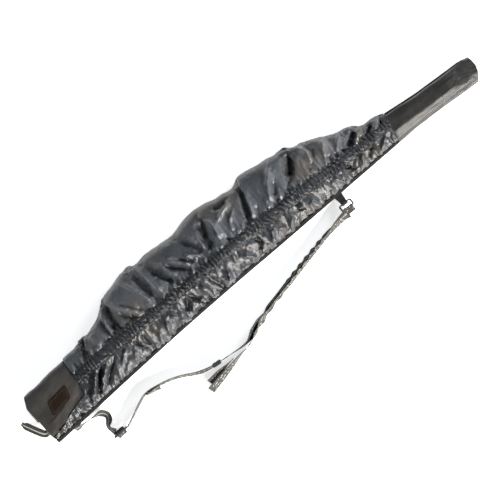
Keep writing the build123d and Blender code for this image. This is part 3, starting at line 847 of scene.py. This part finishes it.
def waist_casing(side, seed):
    """One side's shirred band between the panels, with its elastic inside."""
    us = np.arange(SEAM_U + 2, SLEEVE_U + 8, CASING_STEP)
    turn_low = turn_at(us, band_low(us) - 1.5, side)
    turn_high = turn_at(us, band_top(us) + 1.5, side)
    first, last = (turn_low, turn_high) if side == "right" else (turn_high, turn_low)
    grid, normal, _ = skin(us, first, last, CASING_COLUMNS)
    share = np.linspace(0, 1, CASING_COLUMNS)[None, :]
    u = us[:, None]
    w = share * CASING_WIDTH
    body = 1.4 + 2.2 * np.sin(pi * share) ** 0.5
    stitched = sum(hump(share, line, 0.05) for line in STITCH_LINES)
    rise = body - 1.1 * stitched
    shuffle = u + 2.2 * noise(u / 13.0, w / 12.0, seed + 4)
    mingle = np.clip(0.5 + 1.1 * noise(u / 21.0, share * 2.4, seed + 30), 0, 1)
    wave = pleats(shuffle, w, WIDE_PLEATS, seed, 0.05) * (1 - mingle)
    wave = wave + pleats(shuffle + 3, w, TIGHT_PLEATS, seed + 20, 0.0) * mingle
    swell = 1 + 0.7 * noise(u / 14.0, share * 3, seed + 9)
    rise = rise + (PLEAT_HEIGHT - STITCHED_LESS * stitched) * wave * swell
    if side == "left":
        rise = np.minimum(rise, 1.2) * 0.5
    grid = grid + normal * rise[:, :, None]
    grid[:, :, 1] += 0.9 * noise(u / 9.0, share * 1.5, seed + 3) * (1 if side == "right" else 0.5)
    keep_above(0.4, grid)
    piece = grid_piece("waist_casing_" + side + "_cloth", grid, CASING)
    # Painted shade: darker in the pleats' hollows and lighter on their crests, stronger than the pleats'
    # real height.
    add_painted_shade_depth(piece, 9.0 * wave)
    smooth_piece(piece)
    attach("cover", piece, "shirred_nylon", "waist_casing_" + side)
    inner = skin(us[::3], first[::3], last[::3], 7, 2.2)[0]
    elastic_tape("waist_elastic_" + side, us[::3], inner, 0.4, 1.6)
    return piece


waist_right = waist_casing("right", 201)
waist_casing("left", 231)


# ---- mouth bindings: black, ruffled where the cloth is gathered into them ----
BINDING_WIDTH, BINDING_COLUMNS = 7, 7
BINDING_STEP, RUFFLE_PITCH = 1.2, 5.6


def lip_turn(us, side):
    """Where the skin meets the mouth's gap."""
    if side == "right":
        rise = depth_line(us) - SEAM_Z
        sine = np.clip(MOUTH_GAP / 2 / rise, 0, 1) ** (1 / square_line(us))
        return np.arcsin(sine) / pi
    return turn_at(us, mouth_line(us) + 0.15, "left")


def mouth_binding(side, seed):
    """One side's binding, from the mouth's gap up to the hem, with its elastic inside."""
    us = np.arange(BUTT_U + 0.5, SLEEVE_U + 1, BINDING_STEP)
    lip = lip_turn(us, side)
    top = turn_at(us, hem_top(us) + 0.8, side)
    first, last = (lip, top) if side == "right" else (top, lip)
    outer, normal, _ = skin(us, first, last, BINDING_COLUMNS)
    share = np.linspace(0, 1, BINDING_COLUMNS)[None, :]
    if side == "left":
        share = 1 - share
    u = us[:, None]
    ruffle = pleats(u, share * BINDING_WIDTH, RUFFLE_PITCH, seed, 0.03)
    rise = 1.3 + 0.9 * np.sin(pi * share) + (0.25 + 0.95 * share) * ruffle
    if side == "left":
        rise = np.minimum(rise, 1.0)
    face = outer + normal * rise[:, :, None]
    face[:, :, 1] += 2.4 * share ** 2 * noise(u / 3.3, 1.0, seed + 1)
    back = (outer - normal * 1.1)[:, ::-1]
    keep_above(0.3, face)
    keep_above(0.8, back)
    both = np.concatenate([face, back], axis=1)
    piece = grid_piece("mouth_binding_" + side + "_edge", both, BINDING, closed=True)
    smooth_piece(piece)
    attach("cover", piece, "black_binding", "mouth_binding_" + side)
    elastic_tape("mouth_elastic_" + side, us[::2], outer[::2] - normal[::2] * 1.9, 0.25, 1.4)


mouth_binding("right", 301)
mouth_binding("left", 331)


# ---- smooth ends: butt pocket and muzzle sleeve ----
END_LOW = 0.35  # the least height of their cloth
CAP_RINGS, CAP_BULGE = 9, 1.2


def end_cap(name, node, ring, middle, reach, material, slot_name, closed=False):
    """Closes a tube at its last ring with a rounded edge and a slightly domed end, which stands out by
    reach: below 0 towards the butt."""
    direction = 1 if reach > 0 else -1
    rows = [ring]
    for share in np.linspace(0, 1, CAP_RINGS + 1)[1:]:
        scale = cos(share * pi / 2) ** 0.55 if share < 1 else 0.004
        row = middle + (ring - middle) * scale
        row[:, 0] = ring[:, 0] + reach * (1 - scale ** 2.2) ** 0.5
        row[:, 0] += direction * CAP_BULGE * (1 - scale) ** 2
        rows.append(row)
    rows = np.array(rows)
    keep_above(END_LOW, rows)
    cap = grid_piece(name, rows, material, closed)
    smooth_piece(cap)
    attach("cover", cap, slot_name, node)


def butt_shift(v):
    """How far the butt's end leans along u: the toe and the heel are cut back."""
    return np.interp(v, (5, 22, 60, 106, 111, 122, 134), (1.5, -2.5, -1.5, -5.5, -5.3, 0.0, 5.0))


POCKET_COLUMNS = 120
CREASE_U = 40  # the middle of the crease between the patch and the pocket's low edge
BUTT_LEAN = 50  # the length over which the butt's own lean fades out


def butt_pocket():
    """The smooth pocket, from its slanting seam over the crown to the same seam on the left side."""
    us = np.concatenate([np.arange(BUTT_U + 2, 14, 2.0), np.arange(14.5, SEAM_U + 3, 3.0)])
    first = turn_at(us, np.interp(us, (-4, 14, 34, 56, 90, 112, 121), (21, 24, 28, 36, 45, 49, 62)))
    last = 2 - first
    grid, normal, _ = skin(us, first, last, POCKET_COLUMNS, 0.2)
    share = np.linspace(0, 1, POCKET_COLUMNS)[None, :]
    u = us[:, None]
    dent = 1.7 * noise(u / 42.0, share * 9, 401) + 0.7 * noise(u / 15.0, share * 22, 402)
    crease_line = 51.5 + 0.16 * (u - 20)
    below = np.minimum(grid[:, :, 1] - crease_line, 0)
    crease = 1.7 * np.exp(below / 8) * np.clip((crease_line + 1.5 - grid[:, :, 1]) / 1.5, 0, 1)
    crease *= hump(u, CREASE_U, 24, 4)
    sag = -2.0 * hump(u, 70, 45) * hump(share, 0.27, 0.12)
    near_seam = -0.6 * hump(u, SEAM_U, 7)
    lift = dent * np.clip((u - BUTT_U) / 20, 0.2, 1) + crease * (share < 0.5) + sag + near_seam
    grid = grid + normal * lift[:, :, None]
    lean = np.clip(1 - (u - BUTT_U) / BUTT_LEAN, 0, 1)
    grid[:, :, 0] += butt_shift(grid[:, :, 1]) * lean
    ring = skin(us[:1].repeat(2), np.zeros(2), np.full(2, 2.0), POCKET_COLUMNS)[0][0]
    ring[:, 0] = us[0] + butt_shift(ring[:, 1])
    keep_above(END_LOW, grid, ring)
    pocket = grid_piece("butt_pocket_cloth", grid, POCKET)
    # Painted shadow along the crease under the patch, and painted shade in the pocket's dents, both stored
    # in the fold attribute.
    shadow = hump(grid[:, :, 1], crease_line, 1.5) * (share < 0.5) * hump(u, CREASE_U, 22, 4)
    add_painted_shade_depth(pocket, -9.0 * shadow + dent)
    smooth_piece(pocket)
    attach("cover", pocket, "pocket_nylon", "butt_pocket_right", "butt_pocket_left")
    end_cap("butt_end_cloth", "butt_end_panel", ring, (0.0, 69.0, 22.0), -3.6, POCKET, "pocket_nylon")
    return pocket


# Long creases of the sleeve: (turn at the root, turn at the tip, depth, half width as a turn).
SLEEVE_CREASES = [
    (0.93, 0.95, 2.4, 0.03), (0.74, 0.66, 1.2, 0.06), (0.50, 0.52, 1.0, 0.05), (0.33, 0.38, 0.7, 0.05),
    (0.16, 0.2, 0.8, 0.04), (1.2, 1.25, 1.2, 0.06), (1.6, 1.5, 1.2, 0.06),
]


def tip_shift(v):
    """The muzzle end is cut on a slant: shorter towards the mouth's side."""
    return np.interp(v, (0, 8, 22, 40, 56), (-12.0, -5.0, 3.5, 8.0, 7.0))


SLEEVE_COLUMNS = 96
TIP_LEAN = 70  # the length over which the slant fades in


def muzzle_sleeve():
    """The narrow smooth sleeve, with pleats at its root, long creases and a slanting end."""
    us = np.concatenate([np.arange(SLEEVE_U - 2, TIP_U - 6, 3.2), [TIP_U - 5.0, TIP_U - 3.5, TIP_U - 2.6]])
    u = us[:, None]
    turns = np.linspace(0, 2, SLEEVE_COLUMNS, endpoint=False)[None, :]
    v, z = outline(u, turns)
    grid = np.stack([np.broadcast_to(u, v.shape), v, z], axis=2)
    across = np.roll(grid, -1, axis=1) - np.roll(grid, 1, axis=1)
    normal = unit(np.cross(np.gradient(grid, axis=0), across))
    share = (u - us[0]) / (us[-1] - us[0])
    lift = 0.9 * noise(u / 38.0, turns * 7, 501) + 0.5 * noise(u / 12.0, turns * 16, 502)
    for root, tip, deep, half in SLEEVE_CREASES:
        line = root + (tip - root) * share + 0.02 * noise(u / 50.0, root * 9, 503)
        gap = (turns - line) / half
        lift -= deep * hump(gap) * (0.55 + 0.45 * np.cos(2 * pi * share * 1.3 + root * 9))
        lift += 0.45 * deep * hump(gap, 1.6)
    root_pleats = pleats(u * 0 + turns * 120, u, 7.0, 505, 0.0)
    lift += 0.9 * root_pleats * np.exp(-(u - us[0]) / 12)
    lift -= 5.0 * (hump(u, 1205, 34) * hump(turns, 0.16, 0.08))
    grid = grid + normal * lift[:, :, None]
    lean = np.clip((u - (TIP_U - TIP_LEAN)) / TIP_LEAN, 0, 1) ** 1.3
    grid[:, :, 0] += tip_shift(grid[:, :, 1]) * lean
    keep_above(END_LOW, grid)
    ring = grid[-1].copy()
    sleeve = grid_piece("muzzle_sleeve_cloth", grid, SLEEVE, closed=True)
    # Painted shade: darker in the sleeve's creases and hollows, lighter on its raised parts.
    add_painted_shade_depth(sleeve, 1.6 * lift)
    smooth_piece(sleeve)
    attach("cover", sleeve, "sleeve_nylon", "muzzle_sleeve_right", "muzzle_sleeve_left")
    end_cap("muzzle_end_cloth", "muzzle_end_cap", ring, (0.0, 28.0, 13.0), 2.4, SLEEVE, "sleeve_nylon", True)
    return sleeve


butt_pocket_piece = butt_pocket()
sleeve_piece = muzzle_sleeve()


# ---- strips, tubes and stitches ----
def directions(path):
    return unit(np.gradient(path, axis=0))


def lengths_along(path):
    return np.concatenate([[0], np.cumsum(np.linalg.norm(np.diff(path, axis=0), axis=1))])


# A strip's section, from one edge round to the other: (place across the width, place in the thickness).
STRIP_RIM = [(-1, 0.0), (-0.985, 0.38), (-0.94, 0.5), (-0.5, 0.5), (-0.1, 0.5), (0.1, 0.5), (0.5, 0.5),
             (0.94, 0.5), (0.985, 0.38), (1, 0.0), (0.985, -0.38), (0.94, -0.5), (0.5, -0.5), (0.1, -0.5),
             (-0.1, -0.5), (-0.5, -0.5), (-0.94, -0.5), (-0.985, -0.38)]


def strip(name, path, across, width, material, thick=1.5):
    """Webbing along a path in (u, v, z) mm, its width lying along the unit vectors across."""
    path = np.asarray(path, float)
    across = np.broadcast_to(np.asarray(across, float), path.shape)
    facing = unit(np.cross(directions(path), across))
    rim_w = np.array([w for w, _ in STRIP_RIM])
    rim_t = np.array([t for _, t in STRIP_RIM])
    half = np.broadcast_to(np.asarray(width, float) / 2, (len(path),))
    grid = path[:, None] + across[:, None] * (rim_w[None, :] * half[:, None])[:, :, None]
    grid = grid + facing[:, None] * (rim_t * thick)[None, :, None]
    start = path[0] + (grid[0] - path[0]) * 0.02
    stop = path[-1] + (grid[-1] - path[-1]) * 0.02
    piece = grid_piece(name, np.concatenate([start[None], grid, stop[None]]), material, closed=True)
    run = lengths_along(path)
    values = np.zeros((len(path) + 2, len(rim_w), 3), np.float32)
    values[:, :, 0] = np.concatenate([run[:1], run, run[-1:]])[:, None] * MM
    values[:, :, 1] = rim_w[None, :] * half[np.r_[0, :len(path), -1]][:, None] * MM
    values[:, :, 2] = (rim_t < 0)[None, :]
    layer = piece.data.attributes.new("strip", "FLOAT_VECTOR", "POINT")
    layer.data.foreach_set("vector", values.reshape(-1))
    return piece


def route(points, steps=10):
    """Points along the smooth spline of a given route in (u, v, z) mm."""
    data = bpy.data.curves.new("route", "CURVE")
    data.dimensions = "3D"
    data.resolution_u = steps
    spline = data.splines.new("NURBS")
    spline.points.add(len(points) - 1)
    for point, (u, v, z) in zip(spline.points, points):
        point.co = (u, v, z, 1)
    spline.order_u = 3
    spline.use_endpoint_u = True
    holder = bpy.data.objects.new("route", data)
    bpy.context.collection.objects.link(holder)
    mesh = bpy.data.meshes.new_from_object(holder)
    path = np.array([v.co[:] for v in mesh.vertices])
    bpy.data.objects.remove(holder)
    bpy.data.meshes.remove(mesh)
    return path


def ribbon(name, points, width, material, steps=10, waves=None):
    """Webbing along a route of (u, v, z, roll) points: roll 0 lies flat, and 90 stands on its edge.
    waves is (start, stop, pitch, degrees) along its length. Returns the piece and its middle line."""
    path = route([p[:3] for p in points], steps)
    spans = lengths_along(np.array([p[:3] for p in points], float))
    run = lengths_along(path)
    roll = np.interp(run / run[-1], spans / spans[-1], [p[3] for p in points])
    if waves:
        start, stop, pitch, degrees = waves
        fade = np.clip((run - start) / pitch, 0, 1) * np.clip((stop - run) / pitch, 0, 1)
        roll = roll + degrees * fade * np.sin(2 * pi * run / pitch)
    roll = np.radians(roll)
    tangents = directions(path)
    level = unit(np.stack([-tangents[:, 1], tangents[:, 0], np.zeros(len(path))], axis=1))
    across = np.cos(roll)[:, None] * level + np.sin(roll)[:, None] * np.cross(tangents, level)
    return strip(name, path, across, width, material), path


def tube(name, path, radius, material):
    """A closed tube along a path in (u, v, z) mm, with rounded ends."""
    path = np.asarray(path, float)
    tangents = directions(path)
    side = unit(np.cross(tangents, (0.13, 0.31, 0.94)))
    top = np.cross(side, tangents)
    turns = np.linspace(0, 2 * pi, 8, endpoint=False)
    ring = np.cos(turns)[None, :, None] * side[:, None] + np.sin(turns)[None, :, None] * top[:, None]
    rows = [path[0] + radius * (0.05 * ring[0] - tangents[0])]
    rows += [path[0] + radius * 0.7 * (ring[0] - tangents[0])]
    rows += list(path[:, None] + radius * ring)
    rows += [path[-1] + radius * 0.7 * (ring[-1] + tangents[-1])]
    rows += [path[-1] + radius * (0.05 * ring[-1] + tangents[-1])]
    return grid_piece(name, np.array(rows), material, closed=True)


def place_along(path, run, at):
    """The place at a length along a path, whose points lie at the lengths in run."""
    return np.array([np.interp(at, run, path[:, k]) for k in range(3)])


# A stitch's rings: (place along it, thickness, height), each a share of the stitch's own size.
STITCH_RINGS = ((0.0, 0.15, -0.5), (0.12, 0.9, 0.3), (0.5, 1.0, 1.0), (0.88, 0.9, 0.3), (1.0, 0.15, -0.5))


def stitches(name, paths, spacing, material, radius, lift):
    """Rows of short raised stitches along paths in (u, v, z) mm, as one piece."""
    verts, faces = [], []
    for path in paths:
        run = lengths_along(path)
        for start in np.arange(spacing * 0.2, run[-1] - spacing * 0.7, spacing):
            first, last = (place_along(path, run, at) for at in (start, start + 0.68 * spacing))
            tangent = unit(last - first)
            side = unit(np.cross(tangent, (0.02, 0.03, 1.0)))
            top = np.cross(side, tangent)
            base = len(verts)
            for share, size, height in STITCH_RINGS:
                middle = first + (last - first) * share + top * height * lift
                for k in range(6):
                    verts.append(middle + radius * size * (cos(k * pi / 3) * side + sin(k * pi / 3) * top))
            for a in range(base, base + 6 * (len(STITCH_RINGS) - 1), 6):
                faces += [(a + k, a + (k + 1) % 6, a + 6 + (k + 1) % 6, a + 6 + k) for k in range(6)]
    return mesh_piece(name, (np.array(verts) - (ORIGIN_U, ORIGIN_V, 0)) * MM, faces, material)


def dense(points, steps=60):
    """Evenly spaced (u, v) places along a line of corners."""
    points = np.array(points, float)
    run = lengths_along(points)
    want = np.linspace(0, run[-1], steps)
    return np.stack([np.interp(want, run, points[:, k]) for k in range(2)], axis=1)


ABOVE_ALL = 200


def landing(*pieces):
    """A function that gives the height in mm of the pieces' top surface over (u, v) places."""
    trees = []
    for piece in pieces:
        corners = [v.co[:] for v in piece.data.vertices]
        trees.append(BVHTree.FromPolygons(corners, [p.vertices[:] for p in piece.data.polygons]))

    def height(places):
        tops = []
        for u, v in places:
            top = 0.0
            for tree in trees:
                hit = tree.ray_cast(Vector(spot(u, v, ABOVE_ALL)), Vector((0, 0, -1)))[0]
                if hit is not None:
                    top = max(top, hit.z / MM)
            tops.append(top)
        return np.array(tops)

    return height


def laid_on(height, points, lift, steps=60):
    """A path of (u, v, z) that follows a surface's height through given (u, v) places."""
    places = dense(points, steps)
    tops = height(places)
    order, found = np.arange(steps), tops > 0
    tops = np.interp(order, order[found], tops[found])
    smooth = np.convolve(np.pad(tops, 1, mode="edge"), (0.25, 0.5, 0.25), mode="valid")
    return np.column_stack([places, smooth + lift])


def under_skin(points):
    """A path of (u, v, z) along the left side, which the cover lies on."""
    places = dense(points)
    v, z = outline(places[:, 0], turn_at(places[:, 0], places[:, 1], "left"))
    return np.column_stack([places[:, 0], v, np.maximum(z, 0.9)])


# ---- seams ----
POCKET_SEAM = [(119, 75), (112, 49), (90, 45), (56, 36), (34, 27.5), (13, 23.5), (0, 21.5)]
POCKET_SEAM_UP = [(120, 136), (119, 75)]
SLEEVE_SEAM = [(1026, 86), (1021, 60), (1014, 21), (1012, 15)]
SLEEVE_CROWN = [(1030, 84), (1075, 77.5), (1113, 72.5), (1187, 66.5), (1228, 63.5), (1240, 61)]
top_of_rear = landing(butt_pocket_piece, upper_cover, lower_right)
top_of_front = landing(sleeve_piece, upper_cover, lower_right, waist_right)


def seam_cord(name, path, radius, material, *nodes):
    attach("cover", tube(name, path, radius, material), "seam_trim", *nodes)


seam_cord("butt_seam_piping_right_cord", laid_on(top_of_rear, POCKET_SEAM, 0.1, 90), 1.3, BINDING,
          "butt_seam_piping_right")
seam_cord("butt_seam_upright_cord", laid_on(top_of_rear, POCKET_SEAM_UP, -0.1), 0.7, CASING)
seam_cord("sleeve_seam_piping_right_cord", laid_on(top_of_front, SLEEVE_SEAM, 0.0), 0.9, TRIM,
          "sleeve_seam_piping_right")
for name, seam in (("butt_seam_piping_left", POCKET_SEAM_UP + POCKET_SEAM),
                   ("sleeve_seam_piping_left", SLEEVE_SEAM)):
    seam_cord(name + "_cord", under_skin(seam), 0.8, TRIM, name)
crown_places = dense(SLEEVE_CROWN)
crown_path = np.column_stack([crown_places, SEAM_Z + 2.5 + 0.6 * noise(crown_places[:, 0] / 20.0, 1.0, 601)])
seam_cord("sleeve_crown_cord", crown_path, 1.9, TRIM)

rows = []
for offset in (3.2, 6.4):
    upright_part, slanting = POCKET_SEAM[:1], POCKET_SEAM[1:-1]
    inner = [(u - offset, v) for u, v in upright_part]
    inner += [(u - offset * 0.2, v + offset) for u, v in slanting]
    rows.append(laid_on(top_of_rear, inner, 0.1, 90))
for offset in (4.0, 7.2):
    rows.append(laid_on(top_of_front, [(u + offset, v) for u, v in SLEEVE_SEAM], 0.1))
for edge, drop in ((band_low, 3.6), (band_top, -3.6)):
    line = [(u, float(edge(u)) + drop) for u in np.arange(126, 1008, 6.0)]
    rows.append(laid_on(landing(waist_right), line, 0.0, 800))
attach("cover", stitches("seam_stitches", rows, 3.4, DARK_THREAD, 0.28, 0.3), "seam_trim")

# ---- patch: plain leather with a stitched border ----
PATCH_CORNERS = np.array([(27.5, 57), (37, 90), (94, 94.5), (83, 63)], float)


def patch_place(a, b):
    """A place in the patch: a runs from its butt end to its muzzle end, and b from low to high."""
    low = PATCH_CORNERS[0] + (PATCH_CORNERS[3] - PATCH_CORNERS[0]) * a
    high = PATCH_CORNERS[1] + (PATCH_CORNERS[2] - PATCH_CORNERS[1]) * a
    return low + (high - low) * b


def leather_patch():
    """A patch laid on the pocket, its corners a little rounded and its rim turned down."""
    steps_a, steps_b = 40, 24
    places = []
    for a in np.linspace(0, 1, steps_a):
        for b in np.linspace(0, 1, steps_b):
            pull = 0.055 * abs(2 * a - 1) ** 12 * abs(2 * b - 1) ** 12
            places.append(patch_place(a + (0.5 - a) * pull * 1.2, b + (0.5 - b) * pull * 2.4))
    places = np.array(places)
    tops = top_of_rear(places).reshape(steps_a, steps_b)
    for _ in range(6):
        tops[1:-1] = (tops[:-2] + 2 * tops[1:-1] + tops[2:]) / 4
        tops[:, 1:-1] = (tops[:, :-2] + 2 * tops[:, 1:-1] + tops[:, 2:]) / 4
    grid = np.concatenate([places.reshape(steps_a, steps_b, 2), tops[:, :, None]], axis=2)
    from_edge = np.minimum.outer(np.minimum(np.arange(steps_a), np.arange(steps_a)[::-1]),
                                 np.minimum(np.arange(steps_b), np.arange(steps_b)[::-1]))
    face, under = grid.copy(), grid.copy()
    face[:, :, 2] += np.where(from_edge == 0, 0.9, 1.5) - 0.25 * (from_edge == 2)
    under[:, :, 2] -= 0.6
    count = steps_a * steps_b
    index = np.arange(count).reshape(steps_a, steps_b)
    rim = [*index[0], *index[1:, -1], *index[-1, -2::-1], *index[-2:0:-1, 0]]
    faces = grid_faces(steps_a, steps_b)
    faces = [tuple(reversed(f)) for f in faces] + [tuple(i + count for i in f) for f in faces]
    for a, b in zip(rim, rim[1:] + rim[:1]):
        faces.append((a, b, b + count, a + count))
    points = np.concatenate([face.reshape(-1, 3), under.reshape(-1, 3)]) - (ORIGIN_U, ORIGIN_V, 0)
    patch = mesh_piece("emblem_patch_leather", points * MM, faces, LEATHER)
    smooth_piece(patch)
    attach("cover", patch, "patch_leather", "emblem_patch")
    near, far, low, high = 0.07, 0.93, 0.14, 0.86
    border = [(near, low), (far, low), (far, high), (near, high), (near, low)]
    line = laid_on(landing(patch), [patch_place(a, b) for a, b in border], 0.05, 160)
    attach("cover", stitches("patch_stitches", [line], 2.6, PALE_THREAD, 0.3, 0.35), "patch_leather")


leather_patch()


# ---- strap ----
# Each route's points are (u, v, z, roll). The routes lie along the CAD solids that they replace.
WEBBING = 25.0
ROOT_TO_BUCKLE = [
    (40, 3.5, 16, 62), (50, 1.5, 17, 66), (62, 1, 17.5, 84), (82, -1.5, 17.5, 88), (99, -4, 17.5, 72),
    (110, -7, 16, 52), (117, -19, 13.5, 46), (112, -31, 13, 52), (101, -38, 13.6, 66), (100, -49, 15, 66),
    (106, -61, 17.5, 46),
]
rear_strap, _ = ribbon("strap_rear_webbing", ROOT_TO_BUCKLE, WEBBING, STRIPED, 14)
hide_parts("strap_root", "strap_rear")
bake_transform(rear_strap)

MAIN_ROUTE = [
    (132, -70, 17.5, 84), (157, -61, 16, 82), (190, -46, 14, 80), (213, -38, 13.6, 80), (246, -44, 13.4, 76),
    (291, -57, 13.8, 75), (340, -88, 17, 68), (400, -96, 17.5, 90), (460, -104, 16.5, 78),
    (486, -93, 13.5, 50), (512, -82, 13.8, 62), (545, -73, 13.6, 106), (580, -66, 13.5, 102),
    (627, -57, 13.5, 106), (694, -44, 13.6, 103), (762, -31, 15.5, 96), (812, -26, 17.5, 62),
    (824, -27, 17.5, 30),
]
main_strap, main_line = ribbon("strap_main_webbing", MAIN_ROUTE, WEBBING, STRAP, 14, (500, 650, 22, 9))
attach("strap", main_strap, "strap_webbing", "strap_main")
RETURN_ROUTE = [
    (328, -131, 10.6, 46), (372, -124, 11.6, 54), (405, -118, 12.8, 66), (430, -113, 13.6, 78),
    (462, -110, 13.8, 92), (488, -99, 12.4, 80), (517, -86, 11.8, 62), (561, -73.5, 13, 64),
    (628, -61.5, 12.8, 63), (695, -48.5, 13.2, 66), (763, -35.5, 15, 68), (812, -31, 15.5, 56),
    (824, -31.5, 14.5, 30),
]
return_strap, return_line = ribbon("strap_return_webbing", RETURN_ROUTE, WEBBING, STRAP, 14,
                                   (140, 300, 34, 8))
attach("strap", return_strap, "strap_webbing", "strap_return", "strap_tail")
TAIL_FOLD = [(338, -116, 11, 50), (368, -112, 12, 58), (396, -110, 13.5, 82), (413, -109, 13.8, 90)]
fold, _ = ribbon("strap_tail_fold", TAIL_FOLD, WEBBING, STRAP, 12)
attach("strap", fold, "strap_webbing")
REAR_TAIL = [(212, -43.5, 13.8, 84), (224, -46, 13.6, 78), (236, -46, 13, 70), (247, -50, 12.6, 64)]
rear_tail, _ = ribbon("strap_rear_tail_webbing", REAR_TAIL, WEBBING, STRAP, 12)
attach("strap", rear_tail, "strap_webbing", "strap_rear_tail")


def wrapped(name, around, reach, width, material, end_lift=0.0):
    """Webbing folded around a bar that runs along u. around is the bar's (u, v, z) middle, and reach is how
    far both layers run from it along v."""
    radius, thick = 3.2, 1.6
    u, v, z = around
    away = 1 if reach > 0 else -1
    turns = np.linspace(-0.5 * pi, 0.5 * pi, 13)
    bend = [(u, v - away * radius * cos(t), z + radius * sin(t)) for t in turns]
    low, high = [], []
    for run in np.linspace(0, abs(reach), 10)[1:]:
        gap = (radius - thick * 0.6) * min(1, run / 9)
        rise = end_lift * run / abs(reach)
        low.insert(0, (u, v + away * run, z - radius + gap + rise))
        high.append((u, v + away * run, z + radius - gap + rise))
    return strip(name, low + bend + high, (1.0, 0, 0), width, material, thick)


FAR_BAR_V = RING_LOW_V + BAR_HALF
RING_U = 831.0
tab_taper = np.concatenate([np.linspace(22, 15, 9), np.full(13, 15.0), np.linspace(15, 22, 9)])
anchor_tab = wrapped("front_anchor_webbing", (RING_U, SWING_V, SEAM_Z), 28, tab_taper, TRIM, -3.5)
attach("cover", anchor_tab, "seam_trim", "front_anchor_tab")
loop_on_ring = wrapped("ring_loop_webbing", (RING_U, FAR_BAR_V, SEAM_Z), -13, 22, STRAP)
attach("strap", loop_on_ring, "strap_webbing", "ring_loop")

WRAP_SIDE = [(-60, 19), (-64, 21.5), (-69, 22), (-73, 21), (-77, 18), (-77.5, 14.5), (-75, 10.5), (-71, 9),
             (-66, 9), (-61, 9.5)]
wrap = strip("rear_buckle_wrap", route([(114, v, z) for v, z in WRAP_SIDE]), (1.0, 0, 0), 22.0, STRAP)
attach("strap", wrap, "strap_webbing")


TACK_HALF = 10  # half the length of a row


def bar_tacks(starts):
    """Short upright rows of stitches on both faces of the main strap, at these lengths along it."""
    run = lengths_along(main_line)
    rows = []
    for start in starts:
        place = place_along(main_line, run, start)
        side = unit(np.cross(place_along(main_line, run, start + 1.0) - place, (0, 0, 1.0)))
        for face in (-1, 1):
            middle = place + side * face * 0.85
            rows.append(np.linspace(middle - (0, 0, TACK_HALF), middle + (0, 0, TACK_HALF), 20))
    attach("strap", stitches("strap_bar_tacks", rows, 3.0, PALE_THREAD, 0.3, 0.2), "strap_webbing")


bar_tacks((122.0, 126.0, 130.0))


# ---- small tabs between the lips of the mouth ----
def small_tab(node):
    """A little sewn tab with rounded edges in the place of its CAD block."""
    low, high = (np.array(corner) / MM + (ORIGIN_U, ORIGIN_V, 0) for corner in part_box(node))
    middle, size = (low + high) / 2, (high - low) * 0.97
    path = [(low[0] + size[0] * step, middle[1], middle[2] + 0.15 * sin(step * 9))
            for step in np.linspace(0.01, 0.99, 12)]
    piece = strip(node + "_webbing", path, (0, 1.0, 0), size[1], BINDING, size[2])
    attach("cover", piece, "black_binding", node)


small_tab("mouth_tab_rear")
small_tab("mouth_tab_front")
small_tab("strap_root_tab")


# ---- pull loop ----
LOOP_PLAN = [(-12.4, 38), (-17, 38.6), (-22, 46), (-29, 60), (-35, 73), (-39, 82), (-41, 87)]
LOOP_HALF = 4.2  # between the loop's two layers and its middle
LOOP_WIDTH = 16.0


def pull_loop():
    """Webbing that doubles back on itself at the loop's far end, and the sewn root that holds it."""
    plan = route([(u, v, 0) for u, v in LOOP_PLAN], 8)[:, :2]
    run = lengths_along(plan)
    share = run / run[-1]
    heading = directions(plan)
    width_way = np.column_stack([-heading[:, 1], heading[:, 0], np.zeros(len(plan))])
    spread = LOOP_HALF * np.clip(share / 0.3, 0.22, 1) ** 0.7
    high = np.column_stack([plan, SEAM_Z + spread])
    low = np.column_stack([plan, SEAM_Z - spread])[::-1]
    turns = np.linspace(0.5 * pi, -0.5 * pi, 11)[1:-1]
    tip = [[*(plan[-1] + heading[-1] * LOOP_HALF * cos(t)), SEAM_Z + LOOP_HALF * sin(t)] for t in turns]
    path = np.concatenate([high, tip, low])
    across = np.concatenate([width_way, np.repeat(width_way[-1:], len(tip), axis=0), width_way[::-1]])
    left_over = np.minimum(1, (run[-1] - run) / 9.0)
    narrow = LOOP_WIDTH * np.sqrt(1 - 0.72 * (1 - left_over) ** 2)
    width = np.concatenate([narrow, np.repeat(narrow[-1:], len(tip)), narrow[::-1]])
    loop = strip("pull_loop_webbing", path, across, width, STRIPED, 1.6)
    attach("pull_loop", loop, "striped_webbing", "pull_loop")
    root = [(-3.0 - 9.2 * step, 38, SEAM_Z) for step in np.linspace(0, 1, 12)]
    tab = strip("pull_loop_root_webbing", root, (0, 1.0, 0), LOOP_WIDTH, STRIPED, 2.6)
    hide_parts("pull_loop_root")
    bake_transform(tab)


pull_loop()

# ---- finishes on the hard parts that CAD made ----
for node, finish in (("rear_buckle", PLASTIC), ("adjuster", PLASTIC), ("front_ring", WIRE)):
    part = bpy.data.objects[node]
    for holder in part.material_slots:
        holder.link = "OBJECT"
        holder.material = finish
